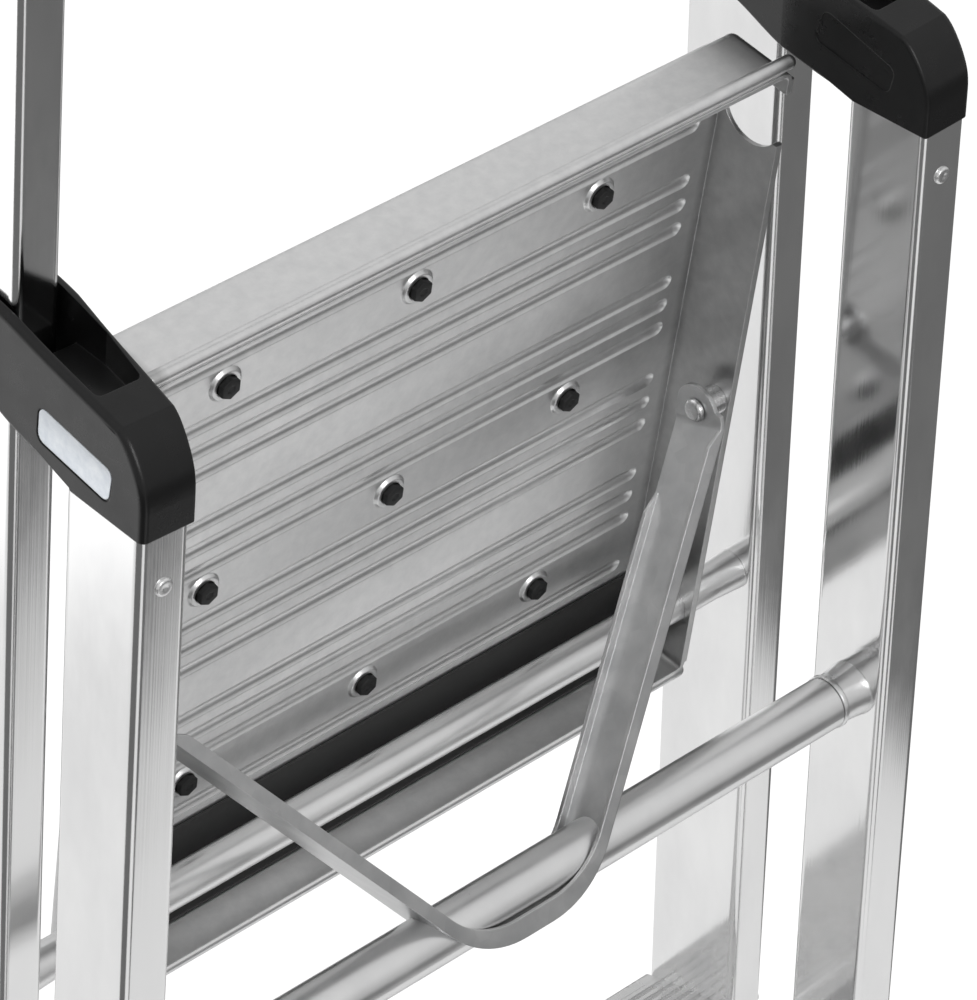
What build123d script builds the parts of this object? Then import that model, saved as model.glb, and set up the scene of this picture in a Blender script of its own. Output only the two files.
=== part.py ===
from build123d import *
from math import cos, hypot, radians, sin, sqrt, tan
import os

# Folding platform step ladder, standing folded. X runs across the ladder, Y from
# the climbing side to the rear, Z up from the floor. All lengths are in mm.

# pivot tube of the platform, the origin that every other place is measured from
PIVOT_Y = -18.9
PIVOT_Z = 903.7

# rails: box sections, drawn in towards the top by SPLAY on each side
SPLAY = 0.044
RAIL_WALL = 1.4
RAIL_CORNER = 2.8
FRONT_HALF = 150.5
FRONT_WIDTH = 16.0
FRONT_FACE = -32.0
FRONT_BACK = 10.0
FRONT_TOP = 640.0
REAR_HALF = 152.0
REAR_WIDTH = 18.0
REAR_FACE = 37.3
REAR_BACK = 69.3
REAR_TOP = 216.5
RAIL_END = -888.5

# standing angles: lean of the front rails and turn of the rear frame when open
FRONT_LEAN = 20.0
OPEN_TURN = 36.3

# tubes; their ends are swaged: a thin bead, a neck and a flare against the rail
PIVOT_R = 6.3
PIVOT_FLARE = 0.7
PIVOT_SPIGOT = 3.0
BAR_R = 9.0
TUBE_WALL = 1.3
COLLAR_FLARE = 0.8
COLLAR_BEAD = 0.4
COLLAR_BEAD_RUN = 1.2
COLLAR_NECK = 0.3
COLLAR_LENGTH = 12.0
OVERRUN = 2.0
BAR_Y = 55.8
BAR_Z = -16.4
BAR_LENGTH = 280.4
BAR_OPEN_N = -6.4
COLLAR_GAP = 0.3
BRACE_Y = 53.3
BRACE_Z = (-300.0, -600.0)

# platform tray, in its own frame: u from the pivot to the rear edge, n downwards
FOLDED_TILT = 6.3
SHEET = 1.5
TRAY_HALF = 124.0
TRAY_FRONT = -25.0
TRAY_REAR = 230.0
UNDERSIDE = 19.0
FLANGE_DEPTH = 5.7
FLANGE_FALL = 0.0128
BEND = 3.5
BEAD_R = 2.4
BEAD_OUT = 1.9
BEAD_REACH = 2.0
HEM = 3.0
HEM_WIDTH = 1.8
NOTCH_U = 207.7
NOTCH_N = 6.0
NOTCH_R = 12.2
NOTCH_END = 221.4
NOTCH_EDGE = 201.0
RIB_HALF = 112.0
RIB_R = 4.5
RIB_DEPTH = 1.0
RIB_SKIN = 1.2
RIB_PITCH = 9.8
RIB_GROUP = 41.72
RIB_FIRST = 30.0
RIB_SINGLES = (7.8, 197.0)
PLUG_U = (20.5, 104.2, 187.9)
PLUG_X = (-73.9, 0.0, 73.9)
PLUG_R = 3.9
EYELET_R = 6.8
EYELET_TAPER = 40.0
EYELET_DROP = 1.1
EYELET_ROUND = 0.5
PLUG_STAND = 3.2
PLUG_HEAD_R = 6.0
PLUG_HEAD = 1.5
PLUG_TAPER = 35.0
PLUG_ROUND = 0.8

# stay: pressed channel that carries the rear bar and hangs on two rivets; in its own
# frame, x goes across and v from the rear bar up to the rivets
STAY_U = 94.0
STAY_N = 2.0
STAY_HALF = 10.7
STAY_BASE = -10.9
STAY_BEND = 34.0
BASE_LIP = 7.2
ARM_LIP = 4.4
ARM_X = 30.8
ARM_SLOPE = 0.745
EAR_X = 115.0
EAR_BEND = 6.0
EAR_START = 116.5
EAR_END_R = 8.6
TRAY_LIP_END = (89.4, 95.7)
REAR_LIP_END = (109.0, 114.0)
RIVET_R = 2.6
RIVET_HEAD_R = 4.0
RIVET_HEAD = 2.0
RIVET_TAIL_R = 3.5
RIVET_TAIL = 1.2
SPACER_R = 5.0
RUNNING = 0.05
FACE_GAP = 0.2

# hinge caps and pins; HINGE_R is the round end of the cheeks
HINGE_R = 13.4
CAP_LOW_TURN = 22.0
CAP_BASE = ((42.0, 216.5), (38.8, 217.4))
CAP_UNDER = ((20.5, 220.4), (8.6, 223.4), (-5.9, 228.8))
CAP_TOP = ((8.0, 258.2), (24.0, 254.8), (41.0, 251.6))
CAP_CREST = (58.5, 248.3)
CAP_REAR = ((63.6, 243.9), (68.2, 236.4))
CAP_SHOULDER = 226.0
CAP_HOLLOW = ((14.5, 205.0), (35.0, 205.0), (35.0, 237.0), (22.0, 237.0), (14.5, 231.0))
PIN_R = 4.0
PIN_HEAD_R = 6.5
PIN_HEAD = 1.6
PIN_TAPER = 25.0
PIN_CLEAR = 0.45
CHEEK_IN = -5.3
CHEEK_CREASE = 13.0
CHEEK_TAPER = 0.08
CHEEK_WALL = 2.5
CHEEK_ROUND = 1.2
SLOT_OUT = 15.2
STOP_GAP = 0.5
POCKET_FLOOR = 243.0
POCKET_NECK = 28.0
POCKET_END = 46.5
POCKET_ROUND = 2.0
CAP_OVERHANG = 1.0
CAP_ROUND = 2.2
CAP_SKIN = 2.5
LABEL_DEPTH = 0.4
LABEL_FIELD = ((25.2, 237.4), (24.6, 225.2), (56.0, 221.4), (57.4, 233.2))
CHEEK_FIELD = ((25.6, 231.4), (29.0, 244.4), (57.3, 235.2), (55.1, 225.2))
LABEL_ROUND = 3.0
SPIGOT = 32.0
SPIGOT_CLEAR = 0.1
CAP_RIVET_Q = 198.0
CAP_RIVET_R = 2.4
CAP_RIVET_HEAD_R = 3.6
CAP_RIVET_HEAD = 1.0
CAP_RIVET_TAPER = 40.0
CAP_RIVET_BORE = 1.2
CAP_RIVET_LENGTH = 9.0

# treads: hollow extrusions, level when the ladder is open
TREAD_PITCH = 230.0
TREAD_Y = -35.5
TREAD_Z = -219.6
TREAD_DEPTH = 76.0
TREAD_SKIN = 1.6
NOSE_DEPTH = 16.0
NOSE_HEIGHT = 24.0
NOSE_ROUND = 4.5
LIP_HEIGHT = 22.0
HOOK = 8.0
HOOK_ROUND = 0.7
RIDGE = 1.0
RIDGE_COUNT = 12
RIDGE_FIRST = 11.0
RIDGE_WIDTH = 2.2
RIDGE_PITCH = 5.0
PORTS = ((8.0, 12.0), (38.0, 6.6))
PORT_R = 4.6
FIXING_R = 2.5
FIXING_DEPTH = 14.0
FIXING_HEAD_R = 5.0
FIXING_HEAD = 2.2
HEAD_TAPER = 20.0

# feet and guard bar: moulded boots over the rail ends
BOOT_WALL = 2.4
BOOT_TOP = -850.0
BOOT_BELOW = 30.0
BOOT_ROUND = 5.0
BOOT_EDGE = 1.2
SOLE_PIVOT = -15.0
GUARD_BASE = 606.0
GUARD_TOP = 655.0
GUARD_GRIP = 628.0
GUARD_DEPTH = 34.0
GUARD_ROUND = 9.0
GUARD_SCREW_Q = 618.0
GUARD_SCREW_HEAD_R = 4.0

STRETCH = hypot(1.0, SPLAY)
OPEN_TILT = 90.0 - FRONT_LEAN


def turned(y, z, about, angle):
    dy = y - about[0]
    dz = z - about[1]
    c = cos(radians(angle))
    s = sin(radians(angle))
    return (about[0] + dy * c - dz * s, about[1] + dy * s + dz * c)


def tray_point(u, n, tilt):
    s = sin(radians(tilt))
    c = cos(radians(tilt))
    return (u * s + n * c, u * c - n * s)


def rail_plane(half, y):
    # front view of the right rail: across it outwards, then up along it
    return Plane((half, PIVOT_Y + y, PIVOT_Z), x_dir=(1, 0, SPLAY), z_dir=(0, -1, 0))


def side_plane(half, across):
    # side view of the right rail, at a distance across it from its inner face
    lift = across / STRETCH
    origin = (half + lift, PIVOT_Y, PIVOT_Z + lift * SPLAY)
    return Plane(origin, x_dir=(0, 1, 0), z_dir=(1, 0, SPLAY))


def across_plane(half, along):
    # section of the right rail, at a distance up along it
    rise = along / STRETCH
    origin = (half - rise * SPLAY, PIVOT_Y, PIVOT_Z + rise)
    return Plane(origin, x_dir=(1, 0, SPLAY), z_dir=(-SPLAY, 0, 1))


def x_axis_plane(x, y, z):
    return Plane((x, PIVOT_Y + y, PIVOT_Z + z), x_dir=(0, 1, 0), z_dir=(1, 0, 0))


def cheek_across(y):
    # inner face of a hinge cap behind its crease, which runs out towards the rear
    return CHEEK_IN + CHEEK_TAPER * (y - CHEEK_CREASE)


def tube_plane(y, z):
    # half section of a cross tube: outwards along it, then up from its axis
    return Plane((0, PIVOT_Y + y, PIVOT_Z + z), x_dir=(1, 0, 0), z_dir=(0, -1, 0))


def swaged_end(start, end):
    # outside of a swaged tube end, run a little into the rail that trims it
    bead = start + COLLAR_BEAD
    neck = bead + COLLAR_BEAD_RUN + COLLAR_BEAD + COLLAR_NECK
    Polyline(
        (start, BAR_R),
        (bead, BAR_R + COLLAR_BEAD),
        (bead + COLLAR_BEAD_RUN, BAR_R + COLLAR_BEAD),
        (neck, BAR_R - COLLAR_NECK),
    )
    TangentArc((neck, BAR_R - COLLAR_NECK), (end, BAR_R + COLLAR_FLARE), tangent=(1, 0))
    Polyline(
        (end, BAR_R + COLLAR_FLARE),
        (end + OVERRUN, BAR_R + COLLAR_FLARE),
        (end + OVERRUN, BAR_R - TUBE_WALL),
    )


def flange_edge(u):
    # depth of the tray's free edge, which falls away a little towards the front
    return FLANGE_DEPTH + FLANGE_FALL * (TRAY_REAR - u)


def rib_rods(places, level, radius):
    # round-ended rods across the tray, one for each rib
    with BuildPart() as rods:
        for u in places:
            middle = TRAY.from_local_coords(Vector(0, u, level))
            with BuildSketch(Plane(middle, x_dir=TRAY.x_dir, z_dir=TRAY.z_dir)):
                with BuildLine():
                    CenterArc((RIB_HALF, 0), radius, 0, 90)
                    Line((RIB_HALF, radius), (-RIB_HALF, radius))
                    CenterArc((-RIB_HALF, 0), radius, 90, 90)
                    Line((-RIB_HALF - radius, 0), (RIB_HALF + radius, 0))
                make_face()
            revolve(axis=Axis(middle, TRAY.x_dir))
    return rods.part


def stay_outline(base, wall):
    # outline of the U of the stay, wall in from its outside, closed above the ears
    arm = ARM_X - wall * hypot(1, ARM_SLOPE)
    ear = EAR_X - wall
    rise = (ear - arm) / ARM_SLOPE
    foot = arm + ARM_SLOPE * base
    top = 2 * rise
    radii = [EAR_BEND - wall, STAY_BEND - wall, STAY_BEND - wall, EAR_BEND - wall]
    with BuildLine() as outline:
        FilletPolyline(
            (-ear, top),
            (-ear, rise),
            (-foot, base),
            (foot, base),
            (ear, rise),
            (ear, top),
            radius=radii,
        )
        Line((ear, top), (-ear, top))
    return outline.edges()


# The linkage. Open, the tray lies level and the rear bar sits in its notches.
stay_folded = tray_point(STAY_U, STAY_N, FOLDED_TILT)
stay_length = hypot(stay_folded[0] - BAR_Y, stay_folded[1] - BAR_Z)
bar_open_u = STAY_U + sqrt(stay_length**2 - (BAR_OPEN_N - STAY_N) ** 2)
bar_open = tray_point(bar_open_u, BAR_OPEN_N, OPEN_TILT)
reach = 0.5 / tan(radians(OPEN_TURN / 2))
HINGE_Y = (BAR_Y + bar_open[0]) / 2 - (bar_open[1] - BAR_Z) * reach
HINGE_Z = (BAR_Z + bar_open[1]) / 2 + (bar_open[0] - BAR_Y) * reach
hinge = (HINGE_Y, HINGE_Z)

TRAY = Plane(
    (0, PIVOT_Y, PIVOT_Z),
    x_dir=(1, 0, 0),
    z_dir=(0, -cos(radians(FOLDED_TILT)), sin(radians(FOLDED_TILT))),
)
TRAY_RIGHT = Plane(
    (0, PIVOT_Y, PIVOT_Z),
    x_dir=(0, sin(radians(FOLDED_TILT)), cos(radians(FOLDED_TILT))),
    z_dir=(-1, 0, 0),
)
TRAY_EDGE = Plane(
    TRAY.from_local_coords(Vector(0, TRAY_FRONT, -flange_edge(TRAY_FRONT))),
    x_dir=(1, 0, 0),
    z_dir=TRAY.z_dir - TRAY.y_dir * FLANGE_FALL,
)
HEM_START = Plane(
    TRAY_EDGE.from_local_coords(Vector(0, BEND, 0)), x_dir=(1, 0, 0), z_dir=TRAY_EDGE.y_dir
)
stay_v = (
    0,
    (stay_folded[0] - BAR_Y) / stay_length,
    (stay_folded[1] - BAR_Z) / stay_length,
)
STAY = Plane(
    (0, PIVOT_Y + BAR_Y, PIVOT_Z + BAR_Z),
    x_dir=(1, 0, 0),
    z_dir=(0, -stay_v[2], stay_v[1]),
)
STAY_EAR = Plane(
    (EAR_X, PIVOT_Y + BAR_Y, PIVOT_Z + BAR_Z), x_dir=stay_v, z_dir=(-1, 0, 0)
)

os.makedirs("parts", exist_ok=True)

# Front rails: extruded box sections, open at both ends, with the holes for the
# platform tube in the inner wall and for the hinge pin through both walls.
rail_right_axis = Axis((0, 0, 0), (-SPLAY, 0, 1))
tread_fixings = []
for step in range(3):
    for depth, drop in PORTS:
        along = turned(depth, -drop, (0, 0), FRONT_LEAN)
        tread_fixings.append((TREAD_Y + along[0], TREAD_Z - TREAD_PITCH * step + along[1]))

with BuildPart() as front_rail_right:
    with BuildSketch(rail_plane(FRONT_HALF, FRONT_FACE)):
        with Locations((FRONT_WIDTH / 2, (FRONT_TOP + RAIL_END) / 2)):
            Rectangle(FRONT_WIDTH, FRONT_TOP - RAIL_END)
    extrude(amount=FRONT_FACE - FRONT_BACK)
    fillet(front_rail_right.edges().filter_by(rail_right_axis), RAIL_CORNER)
    with BuildSketch(rail_plane(FRONT_HALF, FRONT_FACE + RAIL_WALL)):
        with Locations((FRONT_WIDTH / 2, (FRONT_TOP + RAIL_END) / 2)):
            Rectangle(FRONT_WIDTH - 2 * RAIL_WALL, FRONT_TOP - RAIL_END)
    extrude(amount=FRONT_FACE - FRONT_BACK + 2 * RAIL_WALL, mode=Mode.SUBTRACT)
    with Locations(x_axis_plane(FRONT_HALF, 0, 0)):
        Cylinder(PIVOT_R, FRONT_WIDTH, mode=Mode.SUBTRACT)
    with Locations(x_axis_plane(FRONT_HALF, HINGE_Y, HINGE_Z)):
        Cylinder(PIN_R, 4 * FRONT_WIDTH, mode=Mode.SUBTRACT)
    with BuildSketch(side_plane(FRONT_HALF, -FRONT_WIDTH)):
        with Locations(*tread_fixings):
            Circle(FIXING_R)
    extrude(amount=3 * FRONT_WIDTH, mode=Mode.SUBTRACT)
front_rail_right.part.label = "front_rail_right"
export_step(front_rail_right.part, "parts/front_rail_right.step")

with BuildPart() as front_rail_left:
    mirror(front_rail_right.part, about=Plane.YZ)
front_rail_left.part.label = "front_rail_left"
export_step(front_rail_left.part, "parts/front_rail_left.step")

# Treads: extruded hollow sections with a closed nose, a hooked rear lip, ridges on
# top and two screw ports; the ends are cut to the slope of the rails.
treads = []
for step in range(3):
    front_edge = (0, PIVOT_Y + TREAD_Y, PIVOT_Z + TREAD_Z - TREAD_PITCH * step)
    tread_plane = Plane(
        front_edge,
        x_dir=(0, cos(radians(FRONT_LEAN)), sin(radians(FRONT_LEAN))),
        z_dir=(1, 0, 0),
    )
    with BuildPart() as tread:
        with BuildSketch(tread_plane):
            with Locations((NOSE_DEPTH / 2, -NOSE_HEIGHT / 2)):
                RectangleRounded(NOSE_DEPTH, NOSE_HEIGHT, NOSE_ROUND)
                RectangleRounded(
                    NOSE_DEPTH - 2 * TREAD_SKIN,
                    NOSE_HEIGHT - 2 * TREAD_SKIN,
                    NOSE_ROUND - TREAD_SKIN,
                    mode=Mode.SUBTRACT,
                )
            with Locations((NOSE_DEPTH / 2, -TREAD_SKIN)):
                Rectangle(TREAD_DEPTH - NOSE_DEPTH / 2, TREAD_SKIN, align=Align.MIN)
            with Locations((TREAD_DEPTH - TREAD_SKIN / 2, -LIP_HEIGHT / 2)):
                Rectangle(TREAD_SKIN, LIP_HEIGHT)
            with Locations((TREAD_DEPTH - HOOK / 2, TREAD_SKIN / 2 - LIP_HEIGHT)):
                RectangleRounded(HOOK, TREAD_SKIN, HOOK_ROUND)
            with Locations((PORTS[1][0], -PORTS[1][1] / 2)):
                Rectangle(2 * TREAD_SKIN, PORTS[1][1])
            with Locations(*[(depth, -drop) for depth, drop in PORTS]):
                Circle(PORT_R)
            with Locations((PORTS[0][0], -PORTS[0][1])):
                Rectangle(NOSE_DEPTH - TREAD_SKIN, 2 * TREAD_SKIN)
            for ridge in range(RIDGE_COUNT):
                with Locations((RIDGE_FIRST + RIDGE_PITCH * ridge, 0)):
                    Rectangle(RIDGE_WIDTH, 2 * RIDGE)
        extrude(amount=2 * FRONT_HALF)
        split(bisect_by=side_plane(FRONT_HALF, 0), keep=Keep.BOTTOM)
        with BuildSketch(side_plane(FRONT_HALF, -FIXING_DEPTH)):
            with Locations(*tread_fixings[2 * step : 2 * step + 2]):
                Circle(FIXING_R)
        extrude(amount=2 * FIXING_DEPTH, mode=Mode.SUBTRACT)
        mirror(about=Plane.YZ)
    treads.append(tread)
for name, tread in zip(("tread_upper", "tread_middle", "tread_lower"), treads):
    tread.part.label = name
    export_step(tread.part, "parts/" + name + ".step")

# Tread screws: pan heads on the outer faces of the rails, shanks through both walls
# into the screw ports of the treads.
with BuildPart() as tread_screws:
    with BuildSketch(side_plane(FRONT_HALF, -FIXING_DEPTH)):
        with Locations(*tread_fixings):
            Circle(FIXING_R)
    extrude(amount=FIXING_DEPTH + FRONT_WIDTH)
    with BuildSketch(side_plane(FRONT_HALF, FRONT_WIDTH)):
        with Locations(*tread_fixings):
            Circle(FIXING_HEAD_R)
    extrude(amount=FIXING_HEAD, taper=HEAD_TAPER)
    mirror(about=Plane.YZ)
tread_screws.part.label = "tread_screws"
export_step(tread_screws.part, "parts/tread_screws.step")

# Platform pivot tube: fixed between the front rails, with a slight flare against
# each inner face and a spigot into the wall.
with BuildPart() as platform_pivot_tube:
    with BuildSketch(tube_plane(0, 0)):
        with BuildLine():
            Polyline(
                (0, PIVOT_R - TUBE_WALL),
                (0, PIVOT_R),
                (FRONT_HALF - COLLAR_LENGTH, PIVOT_R),
                (FRONT_HALF, PIVOT_R + PIVOT_FLARE),
                (FRONT_HALF + OVERRUN, PIVOT_R + PIVOT_FLARE),
                (FRONT_HALF + OVERRUN, PIVOT_R - TUBE_WALL),
                close=True,
            )
        make_face()
    revolve(axis=Axis((0, PIVOT_Y, PIVOT_Z), (1, 0, 0)))
    split(bisect_by=side_plane(FRONT_HALF, 0), keep=Keep.BOTTOM)
    with Locations(x_axis_plane(FRONT_HALF, 0, 0)):
        Cylinder(PIVOT_R, 2 * PIVOT_SPIGOT)
        Cylinder(PIVOT_R - TUBE_WALL, 3 * PIVOT_SPIGOT, mode=Mode.SUBTRACT)
    mirror(about=Plane.YZ)
platform_pivot_tube.part.label = "platform_pivot_tube"
export_step(platform_pivot_tube.part, "parts/platform_pivot_tube.step")

# Hinge pins: turned pins fixed in the front rails; the cheeks of the caps turn on
# their ends under the two heads.
pin_inner = REAR_HALF - SPLAY * HINGE_Z + CHEEK_IN - PIN_CLEAR
pin_outer = REAR_HALF - SPLAY * HINGE_Z + REAR_WIDTH + PIN_CLEAR
with BuildPart() as hinge_pin_right:
    with BuildSketch(x_axis_plane(pin_inner, HINGE_Y, HINGE_Z)):
        Circle(PIN_R)
    extrude(amount=pin_outer - pin_inner)
    with BuildSketch(x_axis_plane(pin_inner, HINGE_Y, HINGE_Z)):
        Circle(PIN_HEAD_R)
    extrude(amount=-PIN_HEAD, taper=PIN_TAPER)
    with BuildSketch(x_axis_plane(pin_outer, HINGE_Y, HINGE_Z)):
        Circle(PIN_HEAD_R)
    extrude(amount=PIN_HEAD, taper=PIN_TAPER)
hinge_pin_right.part.label = "hinge_pin_right"
export_step(hinge_pin_right.part, "parts/hinge_pin_right.step")

with BuildPart() as hinge_pin_left:
    mirror(hinge_pin_right.part, about=Plane.YZ)
hinge_pin_left.part.label = "hinge_pin_left"
export_step(hinge_pin_left.part, "parts/hinge_pin_left.step")

# Front feet: moulded boots with two level soles, the front one for the folded
# ladder and the rear one for the open ladder.
front_sole = Plane(
    (0, PIVOT_Y + SOLE_PIVOT, 0),
    x_dir=(1, 0, 0),
    z_dir=(0, -sin(radians(FRONT_LEAN)), cos(radians(FRONT_LEAN))),
)
with BuildPart() as front_foot_right:
    with BuildSketch(across_plane(FRONT_HALF, RAIL_END - BOOT_BELOW)):
        with Locations((FRONT_WIDTH / 2, (FRONT_FACE + FRONT_BACK) / 2)):
            RectangleRounded(
                FRONT_WIDTH + 2 * BOOT_WALL,
                FRONT_BACK - FRONT_FACE + 2 * BOOT_WALL,
                BOOT_ROUND,
            )
    extrude(amount=BOOT_TOP - RAIL_END + BOOT_BELOW)
    fillet(front_foot_right.faces().sort_by(Axis.Z)[-1].edges(), BOOT_EDGE)
    split(bisect_by=Plane.XY, keep=Keep.TOP)
    split(bisect_by=front_sole, keep=Keep.TOP)
    with BuildSketch(across_plane(FRONT_HALF, RAIL_END)):
        with Locations((FRONT_WIDTH / 2, (FRONT_FACE + FRONT_BACK) / 2)):
            RectangleRounded(FRONT_WIDTH, FRONT_BACK - FRONT_FACE, RAIL_CORNER)
    extrude(amount=BOOT_TOP - RAIL_END + OVERRUN, mode=Mode.SUBTRACT)
front_foot_right.part.label = "front_foot_right"
export_step(front_foot_right.part, "parts/front_foot_right.step")

with BuildPart() as front_foot_left:
    mirror(front_foot_right.part, about=Plane.YZ)
front_foot_left.part.label = "front_foot_left"
export_step(front_foot_left.part, "parts/front_foot_left.step")

# Guard bar: one moulding that closes the tops of both front rails.
guard_half = FRONT_HALF + FRONT_WIDTH - SPLAY * FRONT_TOP + BOOT_WALL
with BuildPart() as guard_bar:
    with BuildSketch(across_plane(FRONT_HALF, GUARD_BASE)):
        with Locations((FRONT_WIDTH / 2, (FRONT_FACE + FRONT_BACK) / 2)):
            RectangleRounded(
                FRONT_WIDTH + 2 * BOOT_WALL,
                FRONT_BACK - FRONT_FACE + 2 * BOOT_WALL,
                BOOT_ROUND,
            )
    extrude(amount=GUARD_TOP - GUARD_BASE)
    with BuildSketch(Plane.YZ):
        with Locations(
            (PIVOT_Y + (FRONT_FACE + FRONT_BACK) / 2, PIVOT_Z + (GUARD_GRIP + GUARD_TOP) / 2)
        ):
            RectangleRounded(GUARD_DEPTH, GUARD_TOP - GUARD_GRIP, GUARD_ROUND)
    extrude(amount=guard_half - BOOT_WALL)
    with BuildSketch(across_plane(FRONT_HALF, GUARD_BASE - OVERRUN)):
        with Locations((FRONT_WIDTH / 2, (FRONT_FACE + FRONT_BACK) / 2)):
            RectangleRounded(FRONT_WIDTH, FRONT_BACK - FRONT_FACE, RAIL_CORNER)
    extrude(amount=FRONT_TOP - GUARD_BASE + OVERRUN, mode=Mode.SUBTRACT)
    with BuildSketch(side_plane(FRONT_HALF, FRONT_WIDTH)):
        with Locations(((FRONT_FACE + FRONT_BACK) / 2, GUARD_SCREW_Q)):
            Circle(FIXING_R)
    extrude(amount=3 * BOOT_WALL, mode=Mode.SUBTRACT)
    mirror(about=Plane.YZ)
guard_bar.part.label = "guard_bar"
export_step(guard_bar.part, "parts/guard_bar.step")

# Guard bar screws: one through each outer skirt, up to the rail.
with BuildPart() as guard_bar_screws:
    with BuildSketch(side_plane(FRONT_HALF, FRONT_WIDTH)):
        with Locations(((FRONT_FACE + FRONT_BACK) / 2, GUARD_SCREW_Q)):
            Circle(FIXING_R)
    extrude(amount=BOOT_WALL)
    with BuildSketch(side_plane(FRONT_HALF, FRONT_WIDTH + BOOT_WALL)):
        with Locations(((FRONT_FACE + FRONT_BACK) / 2, GUARD_SCREW_Q)):
            Circle(GUARD_SCREW_HEAD_R)
    extrude(amount=FIXING_HEAD, taper=HEAD_TAPER)
    mirror(about=Plane.YZ)
guard_bar_screws.part.label = "guard_bar_screws"
export_step(guard_bar_screws.part, "parts/guard_bar_screws.step")

# Rear rails: box sections as the front ones, closed at the top by the hinge caps.
with BuildPart() as rear_rail_right:
    with BuildSketch(rail_plane(REAR_HALF, REAR_FACE)):
        with Locations((REAR_WIDTH / 2, (REAR_TOP + RAIL_END) / 2)):
            Rectangle(REAR_WIDTH, REAR_TOP - RAIL_END)
    extrude(amount=REAR_FACE - REAR_BACK)
    fillet(rear_rail_right.edges().filter_by(rail_right_axis), RAIL_CORNER)
    with BuildSketch(rail_plane(REAR_HALF, REAR_FACE + RAIL_WALL)):
        with Locations((REAR_WIDTH / 2, (REAR_TOP + RAIL_END) / 2)):
            Rectangle(REAR_WIDTH - 2 * RAIL_WALL, REAR_TOP - RAIL_END)
    extrude(amount=REAR_FACE - REAR_BACK + 2 * RAIL_WALL, mode=Mode.SUBTRACT)
    with BuildSketch(rail_plane(REAR_HALF, REAR_BACK + OVERRUN)):
        with Locations((REAR_WIDTH / 2, CAP_RIVET_Q)):
            Circle(CAP_RIVET_R)
    extrude(amount=OVERRUN + 2 * RAIL_WALL, mode=Mode.SUBTRACT)
rear_rail_right.part.label = "rear_rail_right"
export_step(rear_rail_right.part, "parts/rear_rail_right.step")

with BuildPart() as rear_rail_left:
    mirror(rear_rail_right.part, about=Plane.YZ)
rear_rail_left.part.label = "rear_rail_left"
export_step(rear_rail_left.part, "parts/rear_rail_left.step")

# Rear feet: boots as the front ones; the front sole is level when the ladder is open.
sole_start = turned(SOLE_PIVOT, -PIVOT_Z, hinge, -OPEN_TURN)
sole_fall = radians(OPEN_TURN - FRONT_LEAN)
rear_sole = Plane(
    (0, PIVOT_Y + sole_start[0], PIVOT_Z + sole_start[1]),
    x_dir=(1, 0, 0),
    z_dir=(0, sin(sole_fall), cos(sole_fall)),
)
with BuildPart() as rear_foot_right:
    with BuildSketch(across_plane(REAR_HALF, RAIL_END - BOOT_BELOW)):
        with Locations((REAR_WIDTH / 2, (REAR_FACE + REAR_BACK) / 2)):
            RectangleRounded(
                REAR_WIDTH + 2 * BOOT_WALL,
                REAR_BACK - REAR_FACE + 2 * BOOT_WALL,
                BOOT_ROUND,
            )
    extrude(amount=BOOT_TOP - RAIL_END + BOOT_BELOW)
    fillet(rear_foot_right.faces().sort_by(Axis.Z)[-1].edges(), BOOT_EDGE)
    split(bisect_by=Plane.XY, keep=Keep.TOP)
    split(bisect_by=rear_sole, keep=Keep.TOP)
    with BuildSketch(across_plane(REAR_HALF, RAIL_END)):
        with Locations((REAR_WIDTH / 2, (REAR_FACE + REAR_BACK) / 2)):
            RectangleRounded(REAR_WIDTH, REAR_BACK - REAR_FACE, RAIL_CORNER)
    extrude(amount=BOOT_TOP - RAIL_END + OVERRUN, mode=Mode.SUBTRACT)
rear_foot_right.part.label = "rear_foot_right"
export_step(rear_foot_right.part, "parts/rear_foot_right.step")

with BuildPart() as rear_foot_left:
    mirror(rear_foot_right.part, about=Plane.YZ)
rear_foot_left.part.label = "rear_foot_left"
export_step(rear_foot_left.part, "parts/rear_foot_left.step")

# Hinge caps: forked mouldings. A spigot goes down into the rear rail, two cheeks
# straddle the front rail, and the slot's slanted back wall is the stop when open.
stop_foot = turned(FRONT_BACK + STOP_GAP, HINGE_Z, hinge, -OPEN_TURN)
stop_rise = radians(90 - OPEN_TURN)
stop_low = (FRONT_BACK + STOP_GAP - stop_foot[0]) / cos(stop_rise)
slot_knee = (FRONT_BACK + STOP_GAP, stop_foot[1] + stop_low * sin(stop_rise))
stop_end = slot_knee[0] + (POCKET_FLOOR - slot_knee[1]) / tan(stop_rise)
cap_low = turned(HINGE_Y, HINGE_Z - HINGE_R, hinge, -CAP_LOW_TURN)
rim_level = PIVOT_Z + HINGE_Z - HINGE_R
cap_back = REAR_BACK + CAP_OVERHANG
slot_in = CHEEK_IN + CHEEK_WALL
cheek_side = side_plane(REAR_HALF, CHEEK_IN)
CHEEK_FACE = Plane(
    cheek_side.from_local_coords(Vector(CHEEK_CREASE, 0, 0)),
    x_dir=cheek_side.x_dir + cheek_side.z_dir * CHEEK_TAPER,
    z_dir=cheek_side.z_dir - cheek_side.x_dir * CHEEK_TAPER,
)
spigot_width = REAR_WIDTH - 2 * RAIL_WALL - 2 * SPIGOT_CLEAR
spigot_depth = REAR_BACK - REAR_FACE - 2 * RAIL_WALL - 2 * SPIGOT_CLEAR
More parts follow.
